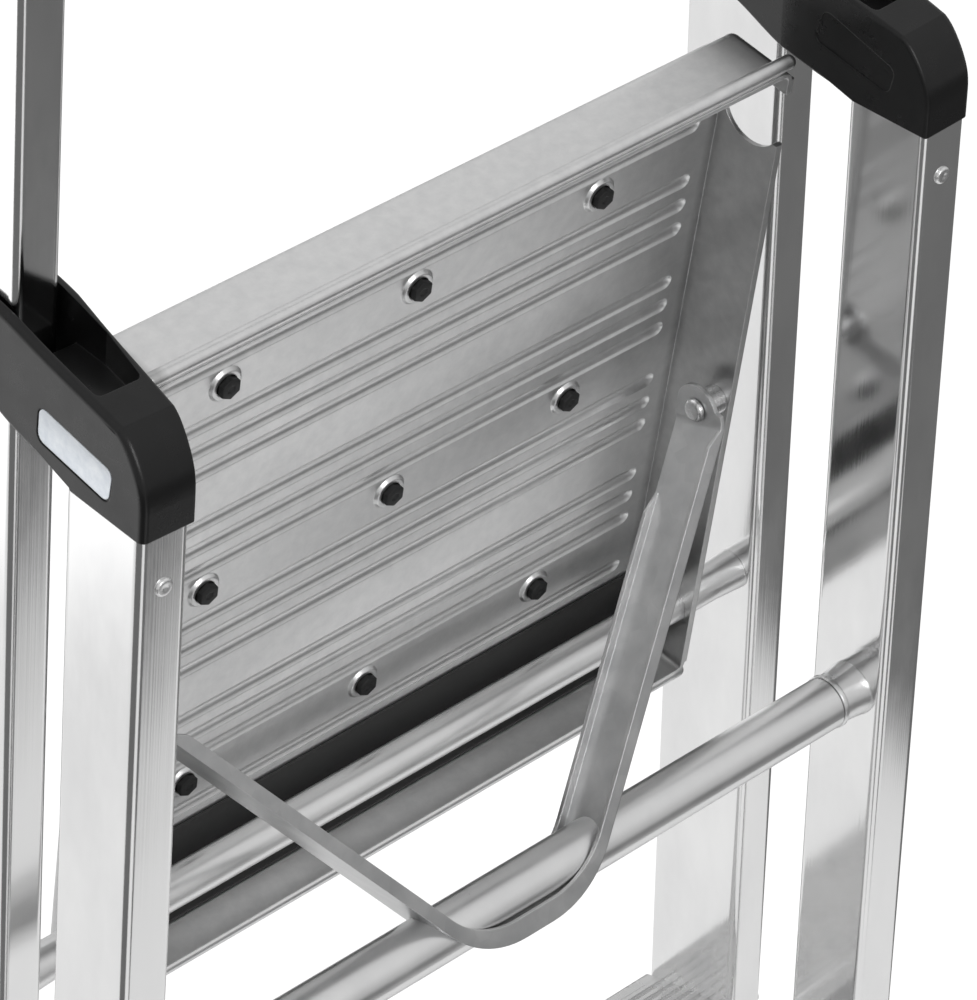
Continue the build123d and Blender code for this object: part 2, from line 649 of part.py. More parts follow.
with BuildPart() as hinge_cap_right:
    with BuildSketch(side_plane(REAR_HALF, CHEEK_IN)):
        with BuildLine():
            Polyline((cap_back, CAP_SHOULDER), (cap_back, REAR_TOP), *CAP_BASE)
            Spline(
                CAP_BASE[1],
                *CAP_UNDER,
                cap_low,
                tangents=((-6, 1), turned(-1, 0, (0, 0), -CAP_LOW_TURN)),
            )
            ThreePointArc(cap_low, (HINGE_Y - HINGE_R, HINGE_Z), (HINGE_Y, HINGE_Z + HINGE_R))
            Spline(
                (HINGE_Y, HINGE_Z + HINGE_R),
                *CAP_TOP,
                CAP_CREST,
                tangents=((1, 0), (5, -1)),
            )
            Spline(
                CAP_CREST,
                *CAP_REAR,
                (cap_back, CAP_SHOULDER),
                tangents=((2, -1), (0, -1)),
            )
        make_face()
    extrude(amount=REAR_WIDTH - CHEEK_IN)
    cap_outer = hinge_cap_right.faces().sort_by(Axis((0, 0, 0), (1, 0, SPLAY)))[-1]
    cap_rim = cap_outer.edges().filter_by(lambda edge: edge.center().Z > rim_level)
    fillet(cap_rim, CAP_ROUND)
    with BuildSketch(across_plane(REAR_HALF, REAR_TOP - SPIGOT)):
        with BuildLine():
            Polyline(
                (CHEEK_IN, CHEEK_CREASE),
                (cheek_across(2 * REAR_BACK), 2 * REAR_BACK),
                (4 * CHEEK_IN, 2 * REAR_BACK),
                (4 * CHEEK_IN, CHEEK_CREASE),
                close=True,
            )
        make_face()
    extrude(amount=3 * SPIGOT, mode=Mode.SUBTRACT)
    cheek_rim = hinge_cap_right.faces().filter_by(lambda face: face.normal_at().X < -0.9).edges()
    cheek_rim = cheek_rim.filter_by(GeomType.LINE, reverse=True)
    fillet(cheek_rim.filter_by(lambda edge: edge.center().Z > rim_level), CHEEK_ROUND)
    with BuildSketch(side_plane(REAR_HALF, slot_in)):
        Polygon(
            (FRONT_BACK + STOP_GAP, REAR_TOP - SPIGOT),
            slot_knee,
            (stop_end, POCKET_FLOOR),
            (stop_end, HINGE_Z + 2 * HINGE_R),
            (2 * FRONT_FACE, HINGE_Z + 2 * HINGE_R),
            (2 * FRONT_FACE, REAR_TOP - SPIGOT),
            align=None,
        )
    extrude(amount=SLOT_OUT - slot_in, mode=Mode.SUBTRACT)
    with BuildSketch(across_plane(REAR_HALF, POCKET_FLOOR)) as pocket:
        Polygon(
            (slot_in, FRONT_BACK),
            (SLOT_OUT, FRONT_BACK),
            (SLOT_OUT, POCKET_END),
            (cheek_across(POCKET_END) + CHEEK_WALL, POCKET_END),
            (slot_in, POCKET_NECK),
            align=None,
        )
        fillet(pocket.vertices().sort_by(Axis.Y)[-2:], POCKET_ROUND)
    extrude(amount=2 * HINGE_R, mode=Mode.SUBTRACT)
    with BuildSketch(side_plane(REAR_HALF, 0)):
        Polygon(*CAP_HOLLOW, align=None)
    extrude(amount=REAR_WIDTH - CAP_SKIN, mode=Mode.SUBTRACT)
    with BuildSketch(across_plane(REAR_HALF, REAR_TOP - SPIGOT)):
        with Locations((REAR_WIDTH / 2, (REAR_FACE + REAR_BACK) / 2)):
            RectangleRounded(spigot_width, spigot_depth, RAIL_CORNER - RAIL_WALL)
    extrude(amount=SPIGOT + CAP_SKIN)
    with BuildSketch(rail_plane(REAR_HALF, REAR_BACK)):
        with Locations((REAR_WIDTH / 2, CAP_RIVET_Q)):
            Circle(CAP_RIVET_R)
    extrude(amount=CAP_RIVET_LENGTH + CAP_SKIN, mode=Mode.SUBTRACT)
    with Locations(x_axis_plane(FRONT_HALF, HINGE_Y, HINGE_Z)):
        Cylinder(PIN_R + RUNNING, 4 * FRONT_WIDTH, mode=Mode.SUBTRACT)
    with BuildSketch(side_plane(REAR_HALF, REAR_WIDTH - LABEL_DEPTH)) as label_field:
        with BuildLine():
            Polyline(*LABEL_FIELD, close=True)
        make_face()
        fillet(label_field.vertices(), LABEL_ROUND)
    extrude(amount=CAP_SKIN, mode=Mode.SUBTRACT)
    with BuildSketch(CHEEK_FACE.offset(LABEL_DEPTH)) as cheek_field:
        with BuildLine():
            Polyline(*[(y - CHEEK_CREASE, q) for y, q in CHEEK_FIELD], close=True)
        make_face()
        fillet(cheek_field.vertices(), LABEL_ROUND)
    extrude(amount=-CAP_SKIN, mode=Mode.SUBTRACT)
hinge_cap_right.part.label = "hinge_cap_right"
export_step(hinge_cap_right.part, "parts/hinge_cap_right.step")

with BuildPart() as hinge_cap_left:
    mirror(hinge_cap_right.part, about=Plane.YZ)
hinge_cap_left.part.label = "hinge_cap_left"
export_step(hinge_cap_left.part, "parts/hinge_cap_left.step")

# Cap rivets: one blind rivet through the rear wall of each rear rail into the spigot.
with BuildPart() as cap_rivets:
    with BuildSketch(rail_plane(REAR_HALF, REAR_BACK)):
        with Locations((REAR_WIDTH / 2, CAP_RIVET_Q)):
            Circle(CAP_RIVET_HEAD_R)
    extrude(amount=-CAP_RIVET_HEAD, taper=CAP_RIVET_TAPER)
    with BuildSketch(rail_plane(REAR_HALF, REAR_BACK)):
        with Locations((REAR_WIDTH / 2, CAP_RIVET_Q)):
            Circle(CAP_RIVET_R)
    extrude(amount=CAP_RIVET_LENGTH)
    with BuildSketch(rail_plane(REAR_HALF, REAR_BACK + CAP_RIVET_HEAD)):
        with Locations((REAR_WIDTH / 2, CAP_RIVET_Q)):
            Circle(CAP_RIVET_BORE)
    extrude(amount=2 * CAP_RIVET_HEAD, mode=Mode.SUBTRACT)
    mirror(about=Plane.YZ)
cap_rivets.part.label = "cap_rivets"
export_step(cap_rivets.part, "parts/cap_rivets.step")

# Rear braces: two lower cross tubes of the rear frame, swaged against both rails.
braces = []
for brace_z in BRACE_Z:
    brace_end = REAR_HALF - SPLAY * brace_z
    with BuildPart() as brace:
        with BuildSketch(tube_plane(BRACE_Y, brace_z)):
            with BuildLine():
                Polyline(
                    (brace_end + OVERRUN, BAR_R - TUBE_WALL),
                    (0, BAR_R - TUBE_WALL),
                    (0, BAR_R),
                    (brace_end - COLLAR_LENGTH, BAR_R),
                )
                swaged_end(brace_end - COLLAR_LENGTH, brace_end)
            make_face()
        revolve(axis=Axis((0, PIVOT_Y + BRACE_Y, PIVOT_Z + brace_z), (1, 0, 0)))
        split(bisect_by=side_plane(REAR_HALF, 0), keep=Keep.BOTTOM)
        mirror(about=Plane.YZ)
    braces.append(brace)
for name, brace in zip(("rear_brace_upper", "rear_brace_lower"), braces):
    brace.part.label = name
    export_step(brace.part, "parts/" + name + ".step")

# Bar collars: pressed collars on the rear rails that the ends of the rear bar turn
# against; this is the pivot where the closed linkage is left open.
bar_end = REAR_HALF - SPLAY * BAR_Z
collar_start = BAR_LENGTH / 2 + COLLAR_GAP
with BuildPart() as bar_collars:
    with BuildSketch(tube_plane(BAR_Y, BAR_Z)):
        with BuildLine():
            Polyline(
                (bar_end + OVERRUN, BAR_R - TUBE_WALL),
                (collar_start, BAR_R - TUBE_WALL),
                (collar_start, BAR_R),
            )
            swaged_end(collar_start, bar_end)
        make_face()
    revolve(axis=Axis((0, PIVOT_Y + BAR_Y, PIVOT_Z + BAR_Z), (1, 0, 0)))
    split(bisect_by=side_plane(REAR_HALF, 0), keep=Keep.BOTTOM)
    mirror(about=Plane.YZ)
bar_collars.part.label = "bar_collars"
export_step(bar_collars.part, "parts/bar_collars.step")

# Rear bar: the plain tube that the stay is pressed on.
with BuildPart() as rear_bar:
    with Locations(x_axis_plane(0, BAR_Y, BAR_Z)):
        Cylinder(BAR_R, BAR_LENGTH)
        Cylinder(BAR_R - TUBE_WALL, BAR_LENGTH, mode=Mode.SUBTRACT)
rear_bar.part.label = "rear_bar"
export_step(rear_bar.part, "parts/rear_bar.step")

# Platform tray: pressed sheet with turned-down edges. Ribs and eyelets are pressed
# into the deck, both long edges are rolled, the side flanges are hemmed on the
# outside, and their rear ends are notched to clear the rear bar.
tray_length = TRAY_REAR - TRAY_FRONT
tray_middle = (TRAY_REAR + TRAY_FRONT) / 2
rib_places = list(RIB_SINGLES)
for group in range(4):
    for rib in range(3):
        rib_places.append(RIB_FIRST + RIB_GROUP * group + RIB_PITCH * rib)
rib_level = UNDERSIDE + RIB_DEPTH - RIB_R
rib_tops = rib_rods(rib_places, rib_level, RIB_R + RIB_SKIN)
rib_grooves = rib_rods(rib_places, rib_level, RIB_R)
plug_places = [(x, u) for u in PLUG_U for x in PLUG_X]
front_depth = flange_edge(TRAY_FRONT)
bead_half = TRAY_HALF + BEAD_REACH - BEAD_R
beads = (
    (TRAY_REAR + BEAD_OUT, FLANGE_DEPTH - BEAD_R),
    (TRAY_FRONT - BEAD_OUT, front_depth - BEAD_R),
)
hem_x = TRAY_HALF - SHEET + HEM / 2

with BuildPart() as eyelets:
    with BuildSketch(TRAY.offset(UNDERSIDE + SHEET / 2)):
        with Locations(*plug_places):
            Circle(EYELET_R)
    extrude(amount=-EYELET_DROP - SHEET / 2, taper=EYELET_TAPER)
    eyelet_flats = eyelets.faces().filter_by(GeomType.PLANE)
    fillet(eyelet_flats.group_by(Axis((0, 0, 0), TRAY.z_dir))[0].edges(), EYELET_ROUND)

with BuildPart() as platform_tray:
    with BuildSketch(TRAY.offset(-front_depth)):
        with Locations((0, tray_middle)):
            RectangleRounded(2 * TRAY_HALF, tray_length, BEND)
    extrude(amount=front_depth + UNDERSIDE + SHEET)
    deck = platform_tray.faces().sort_by(Axis((0, 0, 0), TRAY.z_dir))[-1]
    fillet(deck.edges(), BEND)
    add(rib_tops)
    with BuildSketch(TRAY.offset(-front_depth)):
        with Locations((0, tray_middle)):
            RectangleRounded(2 * (TRAY_HALF - SHEET), tray_length - 2 * SHEET, BEND - SHEET)
    extrude(amount=front_depth + UNDERSIDE, mode=Mode.SUBTRACT)
    add(rib_grooves, mode=Mode.SUBTRACT)
    split(bisect_by=TRAY_EDGE, keep=Keep.TOP)
    with BuildSketch(TRAY_RIGHT):
        with Locations(*beads):
            Circle(BEAD_R)
    extrude(amount=bead_half, both=True)
    with Locations(TRAY):
        with Locations(*[(x, u, -n) for u, n in beads for x in (-bead_half, bead_half)]):
            Sphere(BEAD_R)
    with BuildSketch(HEM_START):
        with Locations((hem_x, -HEM_WIDTH / 2), (-hem_x, -HEM_WIDTH / 2)):
            RectangleRounded(HEM, HEM_WIDTH, 0.45 * HEM_WIDTH)
    extrude(amount=tray_length - 2 * BEND)
    with BuildSketch(TRAY_RIGHT):
        with Locations((NOTCH_U, -NOTCH_N)):
            Circle(NOTCH_R)
        Polygon(
            (NOTCH_U, -NOTCH_N - NOTCH_R),
            (NOTCH_END, -NOTCH_N - NOTCH_R),
            (NOTCH_END, 2 * FLANGE_DEPTH),
            (NOTCH_EDGE, 2 * FLANGE_DEPTH),
            (NOTCH_EDGE, -NOTCH_N),
            align=None,
        )
    extrude(amount=2 * TRAY_HALF, both=True, mode=Mode.SUBTRACT)
    add(eyelets.part)
    with BuildSketch(TRAY.offset(UNDERSIDE)):
        with Locations(*plug_places):
            Circle(PLUG_R)
    extrude(amount=2 * SHEET, both=True, mode=Mode.SUBTRACT)
    with BuildSketch(TRAY_RIGHT):
        Circle(PIVOT_R + RUNNING)
        with Locations((STAY_U, STAY_N)):
            Circle(RIVET_R)
    extrude(amount=2 * TRAY_HALF, both=True, mode=Mode.SUBTRACT)
platform_tray.part.label = "platform_tray"
export_step(platform_tray.part, "parts/platform_tray.step")

# Platform plugs: rubber studs pushed through the deck, with a low head on top.
with BuildPart() as platform_plugs:
    with BuildSketch(TRAY.offset(UNDERSIDE - PLUG_STAND)):
        with Locations(*plug_places):
            Circle(PLUG_R)
    extrude(amount=PLUG_STAND + SHEET)
    with BuildSketch(TRAY.offset(UNDERSIDE + SHEET)):
        with Locations(*plug_places):
            Circle(PLUG_HEAD_R)
    extrude(amount=PLUG_HEAD, taper=PLUG_TAPER)
    flats = platform_plugs.faces().filter_by(GeomType.PLANE)
    fillet(flats.group_by(Axis((0, 0, 0), TRAY.z_dir))[0].edges(), PLUG_ROUND)
platform_plugs.part.label = "platform_plugs"
export_step(platform_plugs.part, "parts/platform_plugs.step")

# Stay spacers: turned bushes between the side flanges and the ears of the stay.
with BuildPart() as stay_spacers:
    with BuildSketch(TRAY_RIGHT.offset(-TRAY_HALF + SHEET)):
        with Locations((STAY_U, STAY_N)):
            Circle(SPACER_R)
            Circle(RIVET_R, mode=Mode.SUBTRACT)
    extrude(amount=TRAY_HALF - SHEET - EAR_X - FACE_GAP)
    mirror(about=Plane.YZ)
stay_spacers.part.label = "stay_spacers"
export_step(stay_spacers.part, "parts/stay_spacers.step")

# Stay rivets: fixed in the flanges; the ears of the stay turn on their shanks.
rivet_inner = EAR_X - SHEET - FACE_GAP
with BuildPart() as stay_rivets:
    with BuildSketch(TRAY_RIGHT.offset(-rivet_inner)):
        with Locations((STAY_U, STAY_N)):
            Circle(RIVET_R)
    extrude(amount=rivet_inner - TRAY_HALF)
    with BuildSketch(TRAY_RIGHT.offset(-rivet_inner)):
        with Locations((STAY_U, STAY_N)):
            Circle(RIVET_HEAD_R)
    extrude(amount=RIVET_HEAD, taper=HEAD_TAPER)
    fillet(stay_rivets.faces().sort_by(Axis.X)[0].edges(), 0.6 * RIVET_HEAD)
    with BuildSketch(TRAY_RIGHT.offset(-TRAY_HALF)):
        with Locations((STAY_U, STAY_N)):
            Circle(RIVET_TAIL_R)
    extrude(amount=-RIVET_TAIL, taper=HEAD_TAPER)
    mirror(about=Plane.YZ)
stay_rivets.part.label = "stay_rivets"
export_step(stay_rivets.part, "parts/stay_rivets.step")

# Stay bracket: one strip pressed into a channel with both lips turned inwards, bent
# to a U under the rear bar and out to a flat round ear at each end. The lips end in
# ramps: the one beside the tray below the ear, the rear one close to the rivet.
with BuildPart() as stay_bracket:
    with BuildSketch(STAY):
        make_face(stay_outline(STAY_BASE, 0))
        make_face(stay_outline(STAY_BASE + SHEET, SHEET), mode=Mode.SUBTRACT)
        with Locations((0, EAR_START)):
            Rectangle(
                4 * EAR_X, 2 * EAR_START, align=(Align.CENTER, Align.MIN), mode=Mode.SUBTRACT
            )
    extrude(amount=STAY_HALF, both=True)
    for level, (low, high) in ((STAY_HALF - SHEET, TRAY_LIP_END), (-STAY_HALF, REAR_LIP_END)):
        ramp_foot = ARM_X - ARM_LIP * hypot(1, ARM_SLOPE) + ARM_SLOPE * low
        with BuildSketch(STAY.offset(level)):
            make_face(stay_outline(STAY_BASE, 0))
            make_face(stay_outline(STAY_BASE + BASE_LIP, ARM_LIP), mode=Mode.SUBTRACT)
            Polygon(
                (-2 * EAR_X, high),
                (-ARM_X - ARM_SLOPE * high, high),
                (-ramp_foot, low),
                (ramp_foot, low),
                (ARM_X + ARM_SLOPE * high, high),
                (2 * EAR_X, high),
                (2 * EAR_X, 3 * EAR_X),
                (-2 * EAR_X, 3 * EAR_X),
                align=None,
                mode=Mode.SUBTRACT,
            )
        extrude(amount=SHEET)
    with BuildSketch(STAY_EAR):
        Polygon(
            (EAR_START, -STAY_HALF),
            (stay_length, -EAR_END_R),
            (stay_length, EAR_END_R),
            (EAR_START, STAY_HALF),
            align=None,
        )
        with Locations((stay_length, 0)):
            Circle(EAR_END_R)
    extrude(amount=SHEET)
    with BuildSketch(STAY_EAR):
        with Locations((stay_length, 0)):
            Circle(RIVET_R + RUNNING)
    extrude(amount=2 * SHEET, both=True, mode=Mode.SUBTRACT)
    split(bisect_by=Plane.YZ, keep=Keep.TOP)
    mirror(about=Plane.YZ)
    with Locations(x_axis_plane(0, BAR_Y, BAR_Z)):
        Cylinder(BAR_R, 2 * EAR_X, mode=Mode.SUBTRACT)
stay_bracket.part.label = "stay_bracket"
export_step(stay_bracket.part, "parts/stay_bracket.step")
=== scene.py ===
import bpy
from math import atan, cos, hypot, pi, radians, sin
from mathutils import Matrix, Vector


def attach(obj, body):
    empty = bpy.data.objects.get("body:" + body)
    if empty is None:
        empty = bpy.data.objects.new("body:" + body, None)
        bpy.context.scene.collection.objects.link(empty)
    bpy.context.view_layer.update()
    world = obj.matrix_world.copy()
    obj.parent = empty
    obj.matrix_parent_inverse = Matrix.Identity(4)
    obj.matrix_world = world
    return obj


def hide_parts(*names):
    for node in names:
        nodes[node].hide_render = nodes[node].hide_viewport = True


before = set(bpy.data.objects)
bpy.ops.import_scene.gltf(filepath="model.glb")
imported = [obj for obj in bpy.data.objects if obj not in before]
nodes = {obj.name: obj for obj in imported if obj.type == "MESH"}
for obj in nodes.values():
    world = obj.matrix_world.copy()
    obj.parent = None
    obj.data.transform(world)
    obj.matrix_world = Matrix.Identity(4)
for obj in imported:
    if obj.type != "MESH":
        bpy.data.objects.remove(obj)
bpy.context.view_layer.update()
bpy.ops.object.select_all(action="DESELECT")


# Front rails: two aluminium box extrusions in mill finish, drawn in towards the top.
# The die leaves faint lines along them, and handling dulls their near mirror faces.
# Wear takes the sharpness off the edges, of these and of all the other pieces.
SPLAY = 0.044
RAIL_TURN = atan(SPLAY)
RAIL_LINES = (0.0007, 0.0007, 0.4)
RAIL_RIPPLE = (0.03, 0.03, 0.25)
RAIL_SMOOTH = 0.09
RAIL_DULL = 0.16
HANDLING_CELL = (0.022, 0.022, 0.05)
ALUMINIUM_DARK = (0.75, 0.75, 0.752)
ALUMINIUM_LIGHT = (0.83, 0.83, 0.828)
RIPPLE_RELIEF = (0.3, 0.0004)
LINE_RELIEF = (0.08, 0.0001)
EDGE_WEAR = 0.0005
EDGE_SAMPLES = 6


def new_finish(name):
    finish = bpy.data.materials.new(name)
    finish.use_nodes = True
    tree = finish.node_tree
    return finish, tree, tree.nodes["Principled BSDF"]


def add(tree, kind, **values):
    node = tree.nodes.new(kind)
    for key, value in values.items():
        if key in node.inputs:
            node.inputs[key].default_value = value
        else:
            setattr(node, key, value)
    return node


def pattern_place(tree, cell, turn=0.0):
    place = add(tree, "ShaderNodeTexCoord")
    mapping = add(tree, "ShaderNodeMapping", vector_type="TEXTURE", Scale=cell, Rotation=(0, turn, 0))
    tree.links.new(place.outputs["Object"], mapping.inputs["Vector"])
    return mapping.outputs["Vector"]


def cloudy(tree, place, detail=4.0, rough=0.5):
    texture = add(tree, "ShaderNodeTexNoise", Scale=1.0, Detail=detail, Roughness=rough)
    tree.links.new(place, texture.inputs["Vector"])
    return texture.outputs["Fac"]


def spread(tree, source, low, high, start=0.3, end=0.7):
    ramp = add(tree, "ShaderNodeMapRange")
    ramp.inputs["From Min"].default_value = start
    ramp.inputs["From Max"].default_value = end
    ramp.inputs["To Min"].default_value = low
    ramp.inputs["To Max"].default_value = high
    tree.links.new(source, ramp.inputs["Value"])
    return ramp.outputs["Result"]


def shades(tree, source, dark, light, start=0.3, end=0.7):
    ramp = add(tree, "ShaderNodeValToRGB")
    ramp.color_ramp.elements[0].position = start
    ramp.color_ramp.elements[0].color = (*dark, 1)
    ramp.color_ramp.elements[1].position = end
    ramp.color_ramp.elements[1].color = (*light, 1)
    tree.links.new(source, ramp.inputs["Fac"])
    return ramp.outputs["Color"]


# The worn edges come first, and each layer of the surface lies on the one before.
def relief(tree, shader, *layers):
    below = add(tree, "ShaderNodeBevel", samples=EDGE_SAMPLES, Radius=EDGE_WEAR).outputs["Normal"]
    for height, strength, depth in layers:
        layer = add(tree, "ShaderNodeBump", Strength=strength, Distance=depth)
        tree.links.new(height, layer.inputs["Height"])
        tree.links.new(below, layer.inputs["Normal"])
        below = layer.outputs["Normal"]
    tree.links.new(below, shader.inputs["Normal"])


def drawn_aluminium(name, line_cell, ripple_cell, turn, smooth, dull):
    finish, tree, shader = new_finish(name)
    lines = cloudy(tree, pattern_place(tree, line_cell, turn), detail=3)
    ripple = cloudy(tree, pattern_place(tree, ripple_cell, turn), detail=2)
    handling = cloudy(tree, pattern_place(tree, HANDLING_CELL, turn), detail=5, rough=0.6)
    shader.inputs["Metallic"].default_value = 1
    tree.links.new(shades(tree, handling, ALUMINIUM_DARK, ALUMINIUM_LIGHT), shader.inputs["Base Color"])
    tree.links.new(spread(tree, handling, smooth, dull), shader.inputs["Roughness"])
    relief(tree, shader, (ripple, *RIPPLE_RELIEF), (lines, *LINE_RELIEF))
    return finish


def rail_aluminium(name, side):
    return drawn_aluminium(name, RAIL_LINES, RAIL_RIPPLE, -side * RAIL_TURN, RAIL_SMOOTH, RAIL_DULL)


for side, hand in ((1, "right"), (-1, "left")):
    nodes["front_rail_" + hand].data.materials[0] = rail_aluminium("front_rail_metal_" + hand, side)


# Treads: hollow aluminium extrusions with ridged tops, cut to the width between the rails.
# The grip ridges carry the die lines lengthwise, and use has dulled the metal in patches.
TREAD_LINES = (0.4, 0.0007, 0.0007)
TREAD_RIPPLE = (0.2, 0.02, 0.02)
TREAD_SMOOTH = 0.2
TREAD_DULL = 0.34

tread_metal = drawn_aluminium("tread_metal", TREAD_LINES, TREAD_RIPPLE, 0, TREAD_SMOOTH, TREAD_DULL)
for step in ("upper", "middle", "lower"):
    nodes["tread_" + step].data.materials[0] = tread_metal


# Tread screws: zinc plated pan heads with a cross recess, two into each end of a tread.
# The shanks go through both walls of the rail into the screw ports of the extrusion.
STRETCH = hypot(1, SPLAY)
PIVOT = Vector((0, -0.0189, 0.9037))
FRONT_HALF = 0.1505
FRONT_WIDTH = 0.016
ROUND_SIDES = 32
SCREW_SHANK_R = 0.0024
SCREW_HEAD_R = 0.005
SCREW_HEAD = 0.0022
SCREW_DOME = 0.7 * SCREW_HEAD
SCREW_LENGTH = 0.03
SCREW_TURN = 0.7
RECESS_DEPTH = 0.0016
RECESS_REACH = 1.1
RECESS_WIDTH = 0.22
RECESS_TAPER = (0.45, 0.7, 1)
TREAD_COUNT = 3
TREAD_EDGE = Vector((-0.0355, -0.2196))
TREAD_PITCH = 0.230
TREAD_LEAN = radians(20)
SCREW_PORTS = (Vector((0.008, -0.012)), Vector((0.038, -0.0066)))
ZINC_CELL = (0.0015, 0.0015, 0.0015)
ZINC_DARK = (0.6, 0.6, 0.595)
ZINC_LIGHT = (0.76, 0.76, 0.77)
ZINC_SMOOTH = 0.16
ZINC_DULL = 0.3
ZINC_RELIEF = (0.15, 0.0001)
SAME_PLACE = 1e-6
FACING = 0.9


def choose(piece, kind, wanted):
    bpy.ops.object.mode_set(mode="EDIT")
    bpy.ops.mesh.select_mode(type=kind)
    bpy.ops.mesh.select_all(action="DESELECT")
    bpy.ops.object.mode_set(mode="OBJECT")
    parts = piece.data.polygons if kind == "FACE" else piece.data.edges
    for part in parts:
        part.select = wanted(part)
    bpy.ops.object.mode_set(mode="EDIT")


def faces_at(piece, level):
    def there(face):
        return abs(face.center.z - level) < SAME_PLACE and abs(face.normal.z) > FACING

    choose(piece, "FACE", there)


def rim_at(piece, level, radius=0.0):
    corners = piece.data.vertices

    def there(edge):
        ends = [corners[index].co for index in edge.vertices]
        level_ends = all(abs(end.z - level) < SAME_PLACE for end in ends)
        return level_ends and all(end.xy.length > radius for end in ends)

    choose(piece, "EDGE", there)


def smooth_shaded(piece, angle=35):
    bpy.ops.object.mode_set(mode="OBJECT")
    bpy.ops.object.select_all(action="DESELECT")
    piece.select_set(True)
    bpy.context.view_layer.objects.active = piece
    bpy.ops.object.shade_smooth_by_angle(angle=radians(angle))
    return piece


def pan_head_screw(head_radius, shank):
    bpy.ops.mesh.primitive_cylinder_add(
        vertices=ROUND_SIDES, radius=head_radius, depth=SCREW_HEAD, location=(0, 0, SCREW_HEAD / 2)
    )
    screw = bpy.context.object
    bpy.ops.object.transform_apply()
    faces_at(screw, 0)
    bpy.ops.mesh.inset(thickness=head_radius - SCREW_SHANK_R)
    bpy.ops.mesh.extrude_region_move(TRANSFORM_OT_translate={"value": (0, 0, -shank)})
    rim_at(screw, SCREW_HEAD)
    bpy.ops.mesh.bevel(offset=SCREW_DOME, segments=5, profile=0.55, affect="EDGES")
    bpy.ops.object.mode_set(mode="OBJECT")
    arm = RECESS_REACH * head_radius
    bpy.ops.mesh.primitive_cube_add(
        size=1, location=(0, 0, SCREW_HEAD), scale=(arm, RECESS_WIDTH * arm, 2 * RECESS_DEPTH)
    )
    cross = bpy.context.object
    bpy.ops.object.transform_apply()
    faces_at(cross, SCREW_HEAD - RECESS_DEPTH)
    bpy.ops.transform.resize(value=RECESS_TAPER)
    bpy.ops.mesh.select_all(action="SELECT")
    bpy.ops.mesh.duplicate()
    bpy.ops.transform.rotate(value=pi / 2, orient_axis="Z", center_override=(0, 0, SCREW_HEAD))
    bpy.ops.object.mode_set(mode="OBJECT")
    bpy.ops.object.select_all(action="DESELECT")
    bpy.context.view_layer.objects.active = screw
    cut = screw.modifiers.new("cross_recess", "BOOLEAN")
    cut.operation = "DIFFERENCE"
    cut.solver = "EXACT"
    cut.use_self = True
    cut.object = cross
    bpy.ops.object.modifier_apply(modifier=cut.name)
    bpy.data.objects.remove(cross)
    return smooth_shaded(screw)


def set_out(model, places, name):
    made = []
    for place in places:
        bpy.ops.object.select_all(action="DESELECT")
        model.select_set(True)
        bpy.context.view_layer.objects.active = model
        bpy.ops.object.duplicate()
        copy = bpy.context.object
        copy.matrix_world = place
        bpy.ops.object.transform_apply(location=True, rotation=True, scale=True)
        made.append(copy)
    bpy.data.objects.remove(model)
    bpy.ops.object.select_all(action="DESELECT")
    for copy in made:
        copy.select_set(True)
    bpy.context.view_layer.objects.active = made[0]
    bpy.ops.object.join()
    joined = bpy.context.object
    joined.name = name
    joined.select_set(False)
    return joined


# Across is outward from the inner face of the rail, and depth is to the rear of the pivot tube.
def rail_place(side, half, across, depth, along, turn=0.0):
    place = Vector((side * (half + (across - SPLAY * along) / STRETCH), PIVOT.y + depth, 0))
    place.z = PIVOT.z + (across * SPLAY + along) / STRETCH
    outward = Vector((side, 0, SPLAY)).to_track_quat("Z", "Y").to_matrix().to_4x4()
    return Matrix.Translation(place) @ outward @ Matrix.Rotation(turn, 4, "Z")


def zinc_plated(name):
    finish, tree, shader = new_finish(name)
    bloom = cloudy(tree, pattern_place(tree, ZINC_CELL), detail=4)
    shader.inputs["Metallic"].default_value = 1
    tree.links.new(shades(tree, bloom, ZINC_DARK, ZINC_LIGHT), shader.inputs["Base Color"])
    tree.links.new(spread(tree, bloom, ZINC_SMOOTH, ZINC_DULL), shader.inputs["Roughness"])
    relief(tree, shader, (bloom, *ZINC_RELIEF))
    return finish


zinc_plate = zinc_plated("zinc_plate")
screw_places = []
for side in (1, -1):
    for step in range(TREAD_COUNT):
        for port in SCREW_PORTS:
            depth = TREAD_EDGE.x + port.x * cos(TREAD_LEAN) - port.y * sin(TREAD_LEAN)
            along = TREAD_EDGE.y + port.x * sin(TREAD_LEAN) + port.y * cos(TREAD_LEAN)
            along -= TREAD_PITCH * step
            turn = SCREW_TURN * len(screw_places)
            screw_places.append(rail_place(side, FRONT_HALF, FRONT_WIDTH, depth, along, turn))
tread_screw_heads = set_out(
    pan_head_screw(SCREW_HEAD_R, SCREW_LENGTH), screw_places, "tread_screw_heads"
)
tread_screw_heads.data.materials.append(zinc_plate)
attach(tread_screw_heads, "front_frame")
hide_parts("tread_screws")


# Pivot tube: drawn aluminium tube between the front rails, its ends swaged to collars.
# The platform turns on it, which rubs it to a satin.
TUBE_LINES = (0.4, 0.0006, 0.0006)
TUBE_RIPPLE = (0.2, 0.03, 0.03)
TUBE_SMOOTH = 0.27
TUBE_DULL = 0.36

tube_metal = drawn_aluminium("tube_metal", TUBE_LINES, TUBE_RIPPLE, 0, TUBE_SMOOTH, TUBE_DULL)
nodes["platform_pivot_tube"].data.materials[0] = tube_metal


